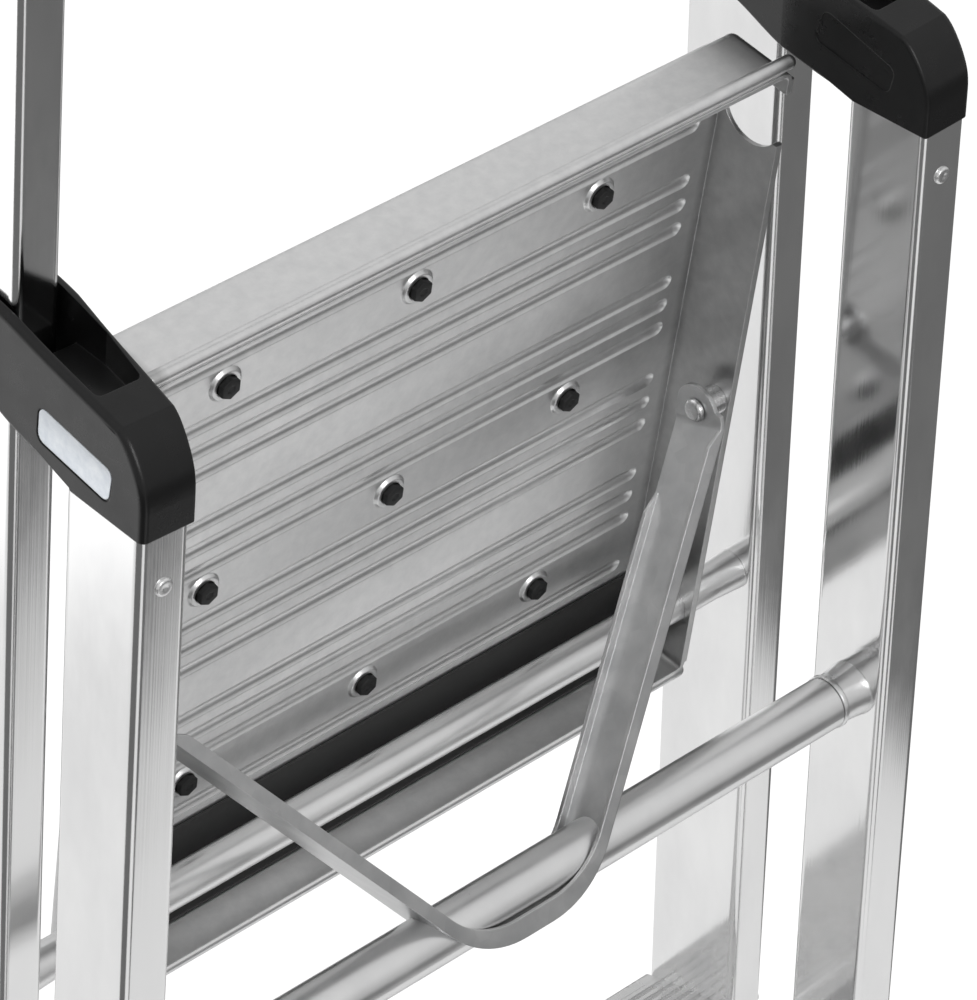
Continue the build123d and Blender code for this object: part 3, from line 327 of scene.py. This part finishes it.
# Platform: one aluminium sheet pressed to a tray, with ribs, rolled edges and pulled eyelets.
# The sheet keeps a frosty mill surface with faint rolling lines from side to side.
# Its side walls are painted darker than the deck, as painted shade.
WALL_SHADE_START = 0.1185
WALL_SHADE_FULL = 0.1215
FROST_CELL = (0.0045, 0.0045, 0.0045)
PATCH_CELL = (0.045, 0.045, 0.045)
ROLLING_LINES = (0.3, 0.0012, 0.0012)
DECK_DARK = (0.71, 0.712, 0.714)
DECK_LIGHT = (0.8, 0.8, 0.798)
WALL_SHADE_DARK = (0.46, 0.462, 0.464)
WALL_SHADE_LIGHT = (0.54, 0.54, 0.538)
SHEET_SMOOTH = 0.28
SHEET_DULL = 0.36
FROST_RELIEF = (0.1, 0.0003)
ROLLING_RELIEF = (0.06, 0.0001)


def pressed_sheet(name):
    finish, tree, shader = new_finish(name)
    frost = cloudy(tree, pattern_place(tree, FROST_CELL), detail=6, rough=0.62)
    patches = cloudy(tree, pattern_place(tree, PATCH_CELL), detail=3)
    rolling = cloudy(tree, pattern_place(tree, ROLLING_LINES), detail=3)
    place = add(tree, "ShaderNodeTexCoord")
    split = add(tree, "ShaderNodeSeparateXYZ")
    tree.links.new(place.outputs["Object"], split.inputs[0])
    outward = add(tree, "ShaderNodeMath", operation="ABSOLUTE")
    tree.links.new(split.outputs["X"], outward.inputs[0])
    # Painted shade: past the bends, the side walls take a darker colour than the deck.
    wall_shade = spread(tree, outward.outputs[0], 0, 1, WALL_SHADE_START, WALL_SHADE_FULL)
    tone = add(tree, "ShaderNodeMix", data_type="RGBA")
    deck_input, wall_shade_input = [socket for socket in tone.inputs if socket.type == "RGBA"]
    tree.links.new(wall_shade, tone.inputs["Factor"])
    tree.links.new(shades(tree, frost, DECK_DARK, DECK_LIGHT), deck_input)
    tree.links.new(shades(tree, frost, WALL_SHADE_DARK, WALL_SHADE_LIGHT), wall_shade_input)
    mixed = [socket for socket in tone.outputs if socket.type == "RGBA"]
    shader.inputs["Metallic"].default_value = 1
    tree.links.new(mixed[0], shader.inputs["Base Color"])
    tree.links.new(spread(tree, patches, SHEET_SMOOTH, SHEET_DULL), shader.inputs["Roughness"])
    relief(tree, shader, (frost, *FROST_RELIEF), (rolling, *ROLLING_RELIEF))
    return finish


nodes["platform_tray"].data.materials[0] = pressed_sheet("tray_sheet")


# Platform plugs: nine moulded rubber plugs pulled through the eyelets, for grip on the deck.
# A round head stays on the deck and a six-sided stud stands out of the underside.
TRAY_LEAN = radians(6.3)
TRAY_UP = Vector((0, sin(TRAY_LEAN), cos(TRAY_LEAN)))
TRAY_UNDER = Vector((0, cos(TRAY_LEAN), -sin(TRAY_LEAN)))
UNDERSIDE = -0.019
SHEET = 0.0015
STUD_SIDES = 6
STUD_R = 0.0039
STUD_STAND = 0.0032
STUD_EDGE = 0.0004
STUD_RIM = 0.0016
STUD_DIMPLE = 0.0003
DECK_HEAD_R = 0.006
DECK_HEAD = 0.0015
DECK_HEAD_EDGE = 0.0007
PLUG_COLUMNS = (-0.0739, 0.0, 0.0739)
PLUG_ROWS = (0.0205, 0.1042, 0.1879)
PLUG_DARK = (0.006, 0.006, 0.006)
PLUG_LIGHT = (0.014, 0.014, 0.0145)
PLUG_CELL = 0.0009
RUBBER_SHINE = 0.35
RUBBER_SMOOTH = 0.42
RUBBER_DULL = 0.6
RUBBER_RELIEF = (0.2, 0.0002)


def rubber(name, dark, light, cell):
    finish, tree, shader = new_finish(name)
    bloom = cloudy(tree, pattern_place(tree, (cell, cell, cell)), detail=5, rough=0.6)
    shader.inputs["Specular IOR Level"].default_value = RUBBER_SHINE
    tree.links.new(shades(tree, bloom, dark, light), shader.inputs["Base Color"])
    tree.links.new(spread(tree, bloom, RUBBER_SMOOTH, RUBBER_DULL), shader.inputs["Roughness"])
    relief(tree, shader, (bloom, *RUBBER_RELIEF))
    return finish


# Up is from the pivot tube towards the free end of the tray, and under is out of its underside.
def tray_place(across, up, under):
    place = PIVOT + Vector((across, 0, 0)) + up * TRAY_UP + under * TRAY_UNDER
    axes = Matrix((Vector((-1, 0, 0)), TRAY_UP, TRAY_UNDER)).transposed().to_4x4()
    return Matrix.Translation(place) @ axes


bpy.ops.mesh.primitive_cylinder_add(
    vertices=STUD_SIDES, radius=STUD_R, depth=STUD_STAND + SHEET, location=(0, 0, (STUD_STAND - SHEET) / 2)
)
plug = bpy.context.object
bpy.ops.object.transform_apply()
bpy.ops.object.mode_set(mode="EDIT")
bpy.ops.mesh.select_all(action="SELECT")
bpy.ops.mesh.bevel(offset=STUD_EDGE, segments=3, profile=0.5, affect="EDGES")
faces_at(plug, STUD_STAND)
bpy.ops.mesh.inset(thickness=STUD_RIM)
bpy.ops.mesh.inset(thickness=STUD_DIMPLE, depth=-STUD_DIMPLE)
bpy.ops.object.mode_set(mode="OBJECT")
bpy.ops.mesh.primitive_cylinder_add(
    vertices=ROUND_SIDES, radius=DECK_HEAD_R, depth=DECK_HEAD, location=(0, 0, -SHEET - DECK_HEAD / 2)
)
deck_head = bpy.context.object
bpy.ops.object.transform_apply()
rim_at(deck_head, -SHEET - DECK_HEAD)
bpy.ops.mesh.bevel(offset=DECK_HEAD_EDGE, segments=4, profile=0.5, affect="EDGES")
bpy.ops.object.mode_set(mode="OBJECT")
plug.select_set(True)
bpy.context.view_layer.objects.active = plug
bpy.ops.object.join()
smooth_shaded(plug)
plug_places = []
for up in PLUG_ROWS:
    for across in PLUG_COLUMNS:
        plug_places.append(tray_place(across, up, UNDERSIDE))
rubber_plugs = set_out(plug, plug_places, "rubber_plugs")
rubber_plugs.data.materials.append(rubber("plug_rubber", PLUG_DARK, PLUG_LIGHT, PLUG_CELL))
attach(rubber_plugs, "platform")
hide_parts("platform_plugs")


# Channel strip: a thin black strip with a rubber finish in the front channel of the tray, standing as
# painted shade for the deep shadow there.
# It lies on the sheet and its turned edge, clear of the pivot tube.
STRIP_HALF = 0.1203
STRIP_TOP = 0.0008
STRIP_FOOT = -0.0235
STRIP_LIP = -0.0045
STRIP_THICK = 0.0012
STRIP_ROUND = 0.005
STRIP_EDGE = 0.0003
# Painted shade: the strip's near-black colour stands for the shadow in the channel.
STRIP_SHADE_DARK = (0.026, 0.026, 0.026)
STRIP_SHADE_LIGHT = (0.04, 0.04, 0.04)
STRIP_CELL = 0.002

bpy.ops.mesh.primitive_plane_add(size=1)
channel_shade_strip = bpy.context.object
bpy.ops.object.mode_set(mode="EDIT")
bpy.ops.transform.resize(value=(2 * STRIP_HALF, STRIP_TOP - STRIP_FOOT, 1))
bpy.ops.transform.translate(value=(0, (STRIP_TOP + STRIP_FOOT) / 2, UNDERSIDE))
strip_corners = channel_shade_strip.data.vertices


def strip_foot(edge):
    return all(strip_corners[index].co.y < STRIP_FOOT + SAME_PLACE for index in edge.vertices)


choose(channel_shade_strip, "EDGE", strip_foot)
bpy.ops.mesh.extrude_region_move(TRANSFORM_OT_translate={"value": (0, 0, STRIP_LIP - UNDERSIDE)})


def strip_bend(edge):
    on_sheet = all(strip_corners[index].co.z < UNDERSIDE + SAME_PLACE for index in edge.vertices)
    return on_sheet and strip_foot(edge)


choose(channel_shade_strip, "EDGE", strip_bend)
bpy.ops.mesh.bevel(offset=STRIP_ROUND, segments=6, profile=0.5, affect="EDGES")
bpy.ops.mesh.select_all(action="SELECT")
bpy.ops.mesh.normals_make_consistent(inside=False)
bpy.ops.object.mode_set(mode="OBJECT")
solid = channel_shade_strip.modifiers.new("thickness", "SOLIDIFY")
solid.thickness = STRIP_THICK
solid.offset = 1 if channel_shade_strip.data.polygons[0].normal.z > 0 else -1
bpy.ops.object.modifier_apply(modifier=solid.name)
soft = channel_shade_strip.modifiers.new("soft_edges", "BEVEL")
soft.width = STRIP_EDGE
soft.segments = 2
soft.limit_method = "ANGLE"
bpy.ops.object.modifier_apply(modifier=soft.name)
channel_shade_strip.matrix_world = tray_place(0, 0, 0)
bpy.ops.object.transform_apply(location=True, rotation=True, scale=True)
smooth_shaded(channel_shade_strip)
channel_shade_strip.name = "channel_shade_strip"
channel_shade_strip.data.materials.append(rubber("strip_painted_shade", STRIP_SHADE_DARK, STRIP_SHADE_LIGHT, STRIP_CELL))
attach(channel_shade_strip, "platform")


# Stay: a U of galvanised steel channel, pressed flat to an ear at each end.
# The zinc has a fine frost and large faint spangles, each of a slightly different shade.
# The rear bar, an aluminium tube, goes through the bottom of the U.
SPANGLE_CELL = (0.006, 0.006, 0.006)
SPANGLE_SHARE = 0.16
CLOUD_CELL = (0.012, 0.012, 0.012)
ZINC_FROST_CELL = (0.0016, 0.0016, 0.0016)
STAY_DARK = (0.52, 0.524, 0.528)
STAY_LIGHT = (0.67, 0.67, 0.67)
STAY_SMOOTH = 0.32
STAY_DULL = 0.4
STAY_RELIEF = (0.12, 0.0001)


def galvanised(name):
    finish, tree, shader = new_finish(name)
    spangle = add(tree, "ShaderNodeTexVoronoi", Scale=1.0, Randomness=1.0)
    tree.links.new(pattern_place(tree, SPANGLE_CELL), spangle.inputs["Vector"])
    cloud = cloudy(tree, pattern_place(tree, CLOUD_CELL), detail=4, rough=0.5)
    frost = cloudy(tree, pattern_place(tree, ZINC_FROST_CELL), detail=4, rough=0.6)
    shade = add(tree, "ShaderNodeMix", data_type="FLOAT")
    shade.inputs["Factor"].default_value = SPANGLE_SHARE
    tree.links.new(cloud, shade.inputs["A"])
    tree.links.new(spangle.outputs["Color"], shade.inputs["B"])
    mottle = shade.outputs["Result"]
    shader.inputs["Metallic"].default_value = 1
    tree.links.new(shades(tree, mottle, STAY_DARK, STAY_LIGHT), shader.inputs["Base Color"])
    tree.links.new(spread(tree, mottle, STAY_SMOOTH, STAY_DULL), shader.inputs["Roughness"])
    relief(tree, shader, (frost, *STAY_RELIEF))
    return finish


nodes["stay_bracket"].data.materials[0] = galvanised("stay_zinc")
nodes["rear_bar"].data.materials[0] = tube_metal


# Stay rivets: steel rivets with domed heads inside the ears, clenched outside the tray.
# A turned bush on each keeps the ear off the side of the tray.
RIVET_UP = 0.094
RIVET_UNDER = 0.002
RIVET_HEAD_R = 0.004
RIVET_HEAD = 0.002
RIVET_DOME = 0.0015
RIVET_SHANK_R = 0.0026
RIVET_GRIP = 0.0107
RIVET_TAIL_R = 0.0035
RIVET_TAIL = 0.0012
RIVET_TAIL_EDGE = 0.0006
RIVET_SEAT = 0.1133
DOME_ANGLE = 50

bpy.ops.mesh.primitive_cylinder_add(
    vertices=ROUND_SIDES, radius=RIVET_HEAD_R, depth=RIVET_HEAD, location=(0, 0, RIVET_HEAD / 2)
)
rivet = bpy.context.object
bpy.ops.object.transform_apply()
faces_at(rivet, 0)
bpy.ops.mesh.inset(thickness=RIVET_HEAD_R - RIVET_SHANK_R)
bpy.ops.mesh.extrude_region_move(TRANSFORM_OT_translate={"value": (0, 0, -RIVET_GRIP)})
bpy.ops.mesh.extrude_region_move(TRANSFORM_OT_translate={"value": (0, 0, 0)})
tail_growth = RIVET_TAIL_R / RIVET_SHANK_R
bpy.ops.transform.resize(value=(tail_growth, tail_growth, 1))
bpy.ops.mesh.extrude_region_move(TRANSFORM_OT_translate={"value": (0, 0, -RIVET_TAIL)})
rim_at(rivet, -RIVET_GRIP - RIVET_TAIL)
bpy.ops.mesh.bevel(offset=RIVET_TAIL_EDGE, segments=3, profile=0.5, affect="EDGES")
rim_at(rivet, RIVET_HEAD)
bpy.ops.mesh.bevel(offset=RIVET_DOME, segments=7, profile=0.5, affect="EDGES")
smooth_shaded(rivet, DOME_ANGLE)
rivet_places = []
for side in (1, -1):
    seat = PIVOT + Vector((side * RIVET_SEAT, 0, 0)) + RIVET_UP * TRAY_UP + RIVET_UNDER * TRAY_UNDER
    inward = Vector((-side, 0, 0)).to_track_quat("Z", "Y").to_matrix().to_4x4()
    rivet_places.append(Matrix.Translation(seat) @ inward)
stay_pivots = set_out(rivet, rivet_places, "stay_pivots")
stay_pivots.data.materials.append(zinc_plate)
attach(stay_pivots, "platform")
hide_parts("stay_rivets")
nodes["stay_spacers"].data.materials[0] = zinc_plate


# Guard bar: one black moulding that closes the tops of the front rails.
# The mould has a fine spark texture, worn shiny and pale in patches by hands.
GRAIN_CELL = (0.0006, 0.0006, 0.0006)
WEAR_CELL = (0.012, 0.012, 0.012)
PLASTIC_DARK = (0.0016, 0.0016, 0.0017)
PLASTIC_LIGHT = (0.0038, 0.0038, 0.004)
PLASTIC_SHINE = 0.38
PLASTIC_DULL = 0.36
PLASTIC_WORN = 0.24
WEAR_RELIEF = (0.1, 0.0003)
GRAIN_RELIEF = (0.25, 0.00008)


def moulded_plastic(name):
    finish, tree, shader = new_finish(name)
    grain = cloudy(tree, pattern_place(tree, GRAIN_CELL), detail=3)
    wear = cloudy(tree, pattern_place(tree, WEAR_CELL), detail=5, rough=0.65)
    shader.inputs["Specular IOR Level"].default_value = PLASTIC_SHINE
    tree.links.new(shades(tree, wear, PLASTIC_DARK, PLASTIC_LIGHT), shader.inputs["Base Color"])
    tree.links.new(spread(tree, wear, PLASTIC_DULL, PLASTIC_WORN), shader.inputs["Roughness"])
    relief(tree, shader, (wear, *WEAR_RELIEF), (grain, *GRAIN_RELIEF))
    return finish


black_plastic = moulded_plastic("black_plastic")
nodes["guard_bar"].data.materials[0] = black_plastic


# Guard bar screws: smaller pan heads of the same zinc plated kind, one in each outer skirt.
# They hold the moulding to the rail tops.
GUARD_SKIRT = 0.0024
GUARD_SCREW_R = 0.004
GUARD_SCREW_DEPTH = -0.011
GUARD_SCREW_HEIGHT = 0.618
GUARD_SCREW_TURN = 0.5

guard_places = []
for side in (1, -1):
    turn = side * GUARD_SCREW_TURN
    across = FRONT_WIDTH + GUARD_SKIRT
    guard_places.append(
        rail_place(side, FRONT_HALF, across, GUARD_SCREW_DEPTH, GUARD_SCREW_HEIGHT, turn)
    )
guard_screw_heads = set_out(pan_head_screw(GUARD_SCREW_R, GUARD_SKIRT), guard_places, "guard_screw_heads")
guard_screw_heads.data.materials.append(zinc_plate)
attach(guard_screw_heads, "front_frame")
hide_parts("guard_bar_screws")


# Hinge pins: turned steel pins through the front rails, with tapered heads.
# The hinge caps of the rear frame turn on them.
for hand in ("right", "left"):
    nodes["hinge_pin_" + hand].data.materials[0] = zinc_plate


# Rear rails: box extrusions like the front ones, closed at the top by the hinge caps.
# Cross tubes brace them, and short collars on their inner faces take the rear bar.
for side, hand in ((1, "right"), (-1, "left")):
    nodes["rear_rail_" + hand].data.materials[0] = rail_aluminium("rear_rail_metal_" + hand, side)
for name in ("rear_brace_upper", "rear_brace_lower", "bar_collars"):
    nodes[name].data.materials[0] = tube_metal


# Hinge caps: black plastic mouldings plugged into the rear rails and forked over the front ones.
# The slanted back of the fork stops against the front rail when the ladder is open.
for hand in ("right", "left"):
    nodes["hinge_cap_" + hand].data.materials[0] = black_plastic


# Cap rivets: aluminium blind rivets through the rear face of the rail into the cap.
# The broken mandrel leaves a small pit in the low dome.
CAP_RIVET_R = 0.0029
CAP_RIVET_HEAD = 0.001
CAP_RIVET_DOME = 0.0008
CAP_RIVET_BODY = 0.0020
CAP_RIVET_LENGTH = 0.006
MANDREL_R = 0.0009
MANDREL_SLOPE = 0.0003
MANDREL_PIT = 0.0002
PAST_PIT = 1.5 * MANDREL_R
REAR_HALF = 0.152
REAR_WIDTH = 0.018
REAR_BACK = 0.0693
CAP_RIVET_HEIGHT = 0.198

bpy.ops.mesh.primitive_cylinder_add(
    vertices=ROUND_SIDES, radius=CAP_RIVET_R, depth=CAP_RIVET_HEAD, location=(0, 0, CAP_RIVET_HEAD / 2)
)
blind_rivet = bpy.context.object
bpy.ops.object.transform_apply()
faces_at(blind_rivet, 0)
bpy.ops.mesh.inset(thickness=CAP_RIVET_R - CAP_RIVET_BODY)
bpy.ops.mesh.extrude_region_move(TRANSFORM_OT_translate={"value": (0, 0, -CAP_RIVET_LENGTH)})
faces_at(blind_rivet, CAP_RIVET_HEAD)
bpy.ops.mesh.inset(thickness=CAP_RIVET_R - MANDREL_R)
bpy.ops.mesh.inset(thickness=MANDREL_SLOPE, depth=-MANDREL_PIT)
rim_at(blind_rivet, CAP_RIVET_HEAD, PAST_PIT)
bpy.ops.mesh.bevel(offset=CAP_RIVET_DOME, segments=5, profile=0.5, affect="EDGES")
smooth_shaded(blind_rivet, DOME_ANGLE)
rear_face = Vector((0, 1, 0)).to_track_quat("Z", "Y").to_matrix().to_4x4()
blind_places = []
for side in (1, -1):
    seat = rail_place(side, REAR_HALF, REAR_WIDTH / 2, REAR_BACK, CAP_RIVET_HEIGHT).to_translation()
    blind_places.append(Matrix.Translation(seat) @ rear_face)
blind_rivets = set_out(blind_rivet, blind_places, "blind_rivets")
blind_rivets.data.materials.append(tube_metal)
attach(blind_rivets, "rear_frame")
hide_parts("cap_rivets")


# Cap plate: a thin pale plate with rounded corners, glued in the shallow field of one cap.
# It is blank, a little stained and scratched.
PLATE_CORNERS = ((0.0256, 0.2369), (0.0251, 0.2257), (0.0555, 0.2220), (0.0568, 0.2328))
PLANE_CORNERS = (0, 2, 3, 1)
PLATE_ROUND = 0.0027
PLATE_THICK = 0.0003
PLATE_FLOOR = 0.0176
PLATE_EDGE = 0.0001
PLATE_SWELL = 0.00005
DIRT_CELL = (0.004, 0.004, 0.004)
SCRATCH_CELL = (0.0004, 0.006, 0.0006)
PLATE_DARK = (0.56, 0.6, 0.65)
PLATE_LIGHT = (0.7, 0.73, 0.76)
PLATE_DULL = 0.5
PLATE_SMOOTH = 0.3
SCRATCH_RELIEF = (0.1, 0.0001)


def pale_plate(name):
    finish, tree, shader = new_finish(name)
    dirt = cloudy(tree, pattern_place(tree, DIRT_CELL), detail=6, rough=0.65)
    scratch = cloudy(tree, pattern_place(tree, SCRATCH_CELL), detail=3)
    tree.links.new(shades(tree, dirt, PLATE_DARK, PLATE_LIGHT), shader.inputs["Base Color"])
    tree.links.new(spread(tree, dirt, PLATE_DULL, PLATE_SMOOTH), shader.inputs["Roughness"])
    relief(tree, shader, (scratch, *SCRATCH_RELIEF))
    return finish


bpy.ops.mesh.primitive_plane_add()
cap_plate = bpy.context.object
for corner, (depth, along) in zip(PLANE_CORNERS, PLATE_CORNERS):
    seat = rail_place(1, REAR_HALF, PLATE_FLOOR, depth, along).to_translation()
    cap_plate.data.vertices[corner].co = seat
bpy.ops.object.mode_set(mode="EDIT")
bpy.ops.mesh.select_mode(type="VERT")
bpy.ops.mesh.select_all(action="SELECT")
bpy.ops.mesh.bevel(offset=PLATE_ROUND, segments=6, affect="VERTICES")
bpy.ops.mesh.select_all(action="SELECT")
outward = PLATE_THICK * Vector((1, 0, SPLAY)).normalized()
bpy.ops.mesh.extrude_region_move(TRANSFORM_OT_translate={"value": outward})
bpy.ops.mesh.inset(thickness=PLATE_EDGE, depth=PLATE_SWELL)
bpy.ops.mesh.select_all(action="SELECT")
bpy.ops.mesh.normals_make_consistent(inside=False)
smooth_shaded(cap_plate)
cap_plate.name = "cap_plate"
cap_plate.data.materials.append(pale_plate("plate_face"))
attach(cap_plate, "rear_frame")


# Feet: moulded rubber boots pushed over the rail ends, flat on the floor when folded.
# The rubber is dark grey, mottled with dust.
FOOT_DARK = (0.012, 0.012, 0.012)
FOOT_LIGHT = (0.03, 0.03, 0.029)
FOOT_CELL = 0.006

foot_rubber = rubber("foot_rubber", FOOT_DARK, FOOT_LIGHT, FOOT_CELL)
for frame_name in ("front", "rear"):
    for hand in ("right", "left"):
        nodes[frame_name + "_foot_" + hand].data.materials[0] = foot_rubber


# Studio floor: white paper, which the camera sees white, with the ladder's shadow.
# Mirrored, it glows grey near the ladder as painted shadow, and bright from a metre and a half away on the
# picture's left as painted light.
FLOOR_SIZE = 40
PAPER = (0.8, 0.8, 0.8, 1)
PAPER_ROUGHNESS = 0.9
PAPER_SEEN = (0.5, 0.5, 0.5, 1)
WHITE = (1, 1, 1, 1)
GLOW_NEAR = 0.34
GLOW_FAR = 0.9
GLOW_FOR_CAMERA = 0.55
BRIGHT_SIDE = Vector((0.68, -0.73, 0))
BRIGHT_START = 1.5
BRIGHT_FULL = 1.64

bpy.ops.mesh.primitive_plane_add(size=FLOOR_SIZE)
floor = bpy.context.object
floor.name = "floor"
paper, tree, shader = new_finish("floor_paper")
shader.inputs["Base Color"].default_value = PAPER
shader.inputs["Roughness"].default_value = PAPER_ROUGHNESS
rays = add(tree, "ShaderNodeLightPath")
seen = add(tree, "ShaderNodeMath", operation="MAXIMUM")
tree.links.new(rays.outputs["Is Camera Ray"], seen.inputs[0])
tree.links.new(rays.outputs["Is Glossy Ray"], seen.inputs[1])
lit = add(tree, "ShaderNodeBsdfDiffuse", Color=PAPER_SEEN)
glow = add(tree, "ShaderNodeEmission", Color=WHITE)
place = add(tree, "ShaderNodeTexCoord")
distance = add(tree, "ShaderNodeVectorMath", operation="DOT_PRODUCT")
distance.inputs[1].default_value = BRIGHT_SIDE
tree.links.new(place.outputs["Object"], distance.inputs[0])
sideways = distance.outputs["Value"]
# Painted light and shadow: seen mirrored, the floor's glow rises from grey near the ladder to bright on
# the picture's left.
mirrored_glow = spread(tree, sideways, GLOW_NEAR, GLOW_FAR, BRIGHT_START, BRIGHT_FULL)
chosen = add(tree, "ShaderNodeMix", data_type="FLOAT", B=GLOW_FOR_CAMERA)
tree.links.new(rays.outputs["Is Camera Ray"], chosen.inputs["Factor"])
tree.links.new(mirrored_glow, chosen.inputs["A"])
tree.links.new(chosen.outputs["Result"], glow.inputs["Strength"])
both = add(tree, "ShaderNodeAddShader")
tree.links.new(lit.outputs[0], both.inputs[0])
tree.links.new(glow.outputs[0], both.inputs[1])
mix = add(tree, "ShaderNodeMixShader")
tree.links.new(seen.outputs[0], mix.inputs["Fac"])
tree.links.new(shader.outputs[0], mix.inputs[1])
tree.links.new(both.outputs[0], mix.inputs[2])
tree.links.new(mix.outputs[0], tree.nodes["Material Output"].inputs["Surface"])
floor.data.materials.append(paper)


# Dark cloths: the dark parts of the room, on the picture's right and round the camera.
# They lie just over the floor, are seen only mirrored, and have a soft near edge.
# A gap is left between the two at the rear, which the metal mirrors as a paler strip.
CLOTH_SOFT = 0.05
CLOTH_REACH = 5.0
CLOTH_TONE = 0.165
NEAR_EDGE = -0.5
RIGHT_AWAY = Vector((-1, 0, 0))
RIGHT_EDGE = 0.885
RIGHT_LIFT = 0.02
REAR_AWAY = Vector((0.397, 0.918, 0))
REAR_EDGE = 0.63
REAR_LIFT = 0.03
GAP_START = -0.55
GAP_END = 0.1
CLOTHS = (
    ("right", RIGHT_AWAY, RIGHT_EDGE, RIGHT_LIFT, -CLOTH_REACH, CLOTH_REACH),
    ("rear", REAR_AWAY, REAR_EDGE, REAR_LIFT, -CLOTH_REACH, GAP_START),
    ("rear_end", REAR_AWAY, REAR_EDGE, REAR_LIFT, GAP_END, CLOTH_REACH),
)

dark, tree = new_finish("cloth_dark")[:2]
place = add(tree, "ShaderNodeTexCoord")
split = add(tree, "ShaderNodeSeparateXYZ")
tree.links.new(place.outputs["Object"], split.inputs[0])
soft_end = NEAR_EDGE + CLOTH_SOFT / CLOTH_REACH
shown = spread(tree, split.outputs["Y"], 0, 1, NEAR_EDGE, soft_end)
clear = add(tree, "ShaderNodeBsdfTransparent")
shade = add(tree, "ShaderNodeEmission", Color=WHITE, Strength=CLOTH_TONE)
mix = add(tree, "ShaderNodeMixShader")
tree.links.new(shown, mix.inputs["Fac"])
tree.links.new(clear.outputs[0], mix.inputs[1])
tree.links.new(shade.outputs[0], mix.inputs[2])
tree.links.new(mix.outputs[0], tree.nodes["Material Output"].inputs["Surface"])
for name, away, edge, lift, start, end in CLOTHS:
    bpy.ops.mesh.primitive_plane_add(size=1)
    cloth = bpy.context.object
    cloth.name = "cloth_" + name
    cloth.scale = (end - start, CLOTH_REACH, 1)
    cloth.rotation_euler = away.to_track_quat("Y", "Z").to_euler()
    across = Vector((away.y, -away.x, 0))
    middle = (edge + CLOTH_REACH / 2) * away + (start + end) / 2 * across
    cloth.location = middle + Vector((0, 0, lift))
    cloth.data.materials.append(dark)
    cloth.visible_camera = False
    cloth.visible_shadow = False
    cloth.visible_diffuse = False


# Lamps and room: a large soft lamp overhead, a small one behind the camera, a white room.
# Mirrored, the room is pale overhead and a little greyer towards the walls.
LAMP_PLACE = Vector((0.6, -0.8, 3.4))
LAMP_AIM = Vector((0, 0, 0.9))
LAMP_POWER = 60
LAMP_SIZE = 2.5
FILL_PLACE = Vector((0.55, 2.0, 2.25))
FILL_AIM = Vector((0, 0, 1.0))
FILL_POWER = 12
FILL_SIZE = 0.9
ROOM_LIGHT = 0.7
ROOM_WALL = 0.5
ROOM_TOP = 0.74
ROOM_TOP_FROM = 0.5


def soft_lamp(place, aim, power, size):
    bpy.ops.object.light_add(type="AREA", location=place)
    lamp = bpy.context.object
    lamp.data.energy = power
    lamp.data.size = size
    lamp.rotation_euler = (aim - place).to_track_quat("-Z", "Y").to_euler()
    return lamp


overhead = soft_lamp(LAMP_PLACE, LAMP_AIM, LAMP_POWER, LAMP_SIZE)
overhead.visible_glossy = False
soft_lamp(FILL_PLACE, FILL_AIM, FILL_POWER, FILL_SIZE)

world = bpy.data.worlds.new("studio")
bpy.context.scene.world = world
world.use_nodes = True
tree = world.node_tree
even = tree.nodes["Background"]
even.inputs["Color"].default_value = WHITE
even.inputs["Strength"].default_value = ROOM_LIGHT
place = add(tree, "ShaderNodeTexCoord")
split = add(tree, "ShaderNodeSeparateXYZ")
tree.links.new(place.outputs["Generated"], split.inputs[0])
rays = add(tree, "ShaderNodeLightPath")
room = add(tree, "ShaderNodeBackground", Color=WHITE)
room_tone = spread(tree, split.outputs["Z"], ROOM_WALL, ROOM_TOP, 0.0, ROOM_TOP_FROM)
tree.links.new(room_tone, room.inputs["Strength"])
white = add(tree, "ShaderNodeBackground", Color=WHITE, Strength=1.0)
mirrored = add(tree, "ShaderNodeMixShader")
tree.links.new(rays.outputs["Is Glossy Ray"], mirrored.inputs["Fac"])
tree.links.new(even.outputs[0], mirrored.inputs[1])
tree.links.new(room.outputs[0], mirrored.inputs[2])
mix = add(tree, "ShaderNodeMixShader")
tree.links.new(rays.outputs["Is Camera Ray"], mix.inputs["Fac"])
tree.links.new(mirrored.outputs[0], mix.inputs[1])
tree.links.new(white.outputs[0], mix.inputs[2])
tree.links.new(mix.outputs[0], tree.nodes["World Output"].inputs["Surface"])


# Camera: above and behind the ladder, looking down at the folded platform.
# The focal length is in pixels of the picture, with the shift that the framing needs.
IMAGE_WIDTH = 977
FOCAL_PIXELS = 5065
SENSOR_WIDTH = 36
CAMERA_PLACE = (0.8201, 0.8628, 1.9815)
CAMERA_TURN = (radians(51.764), radians(-1.977), radians(138.021))
SHIFT_ACROSS = 0.0401
SHIFT_UP = -0.0590

bpy.ops.object.camera_add(location=CAMERA_PLACE)
camera = bpy.context.object
camera.rotation_euler = CAMERA_TURN
camera.data.sensor_fit = "HORIZONTAL"
camera.data.sensor_width = SENSOR_WIDTH
camera.data.lens = SENSOR_WIDTH * FOCAL_PIXELS / IMAGE_WIDTH
camera.data.shift_x = SHIFT_ACROSS
camera.data.shift_y = SHIFT_UP
bpy.context.scene.camera = camera
bpy.context.scene.view_settings.view_transform = "Standard"
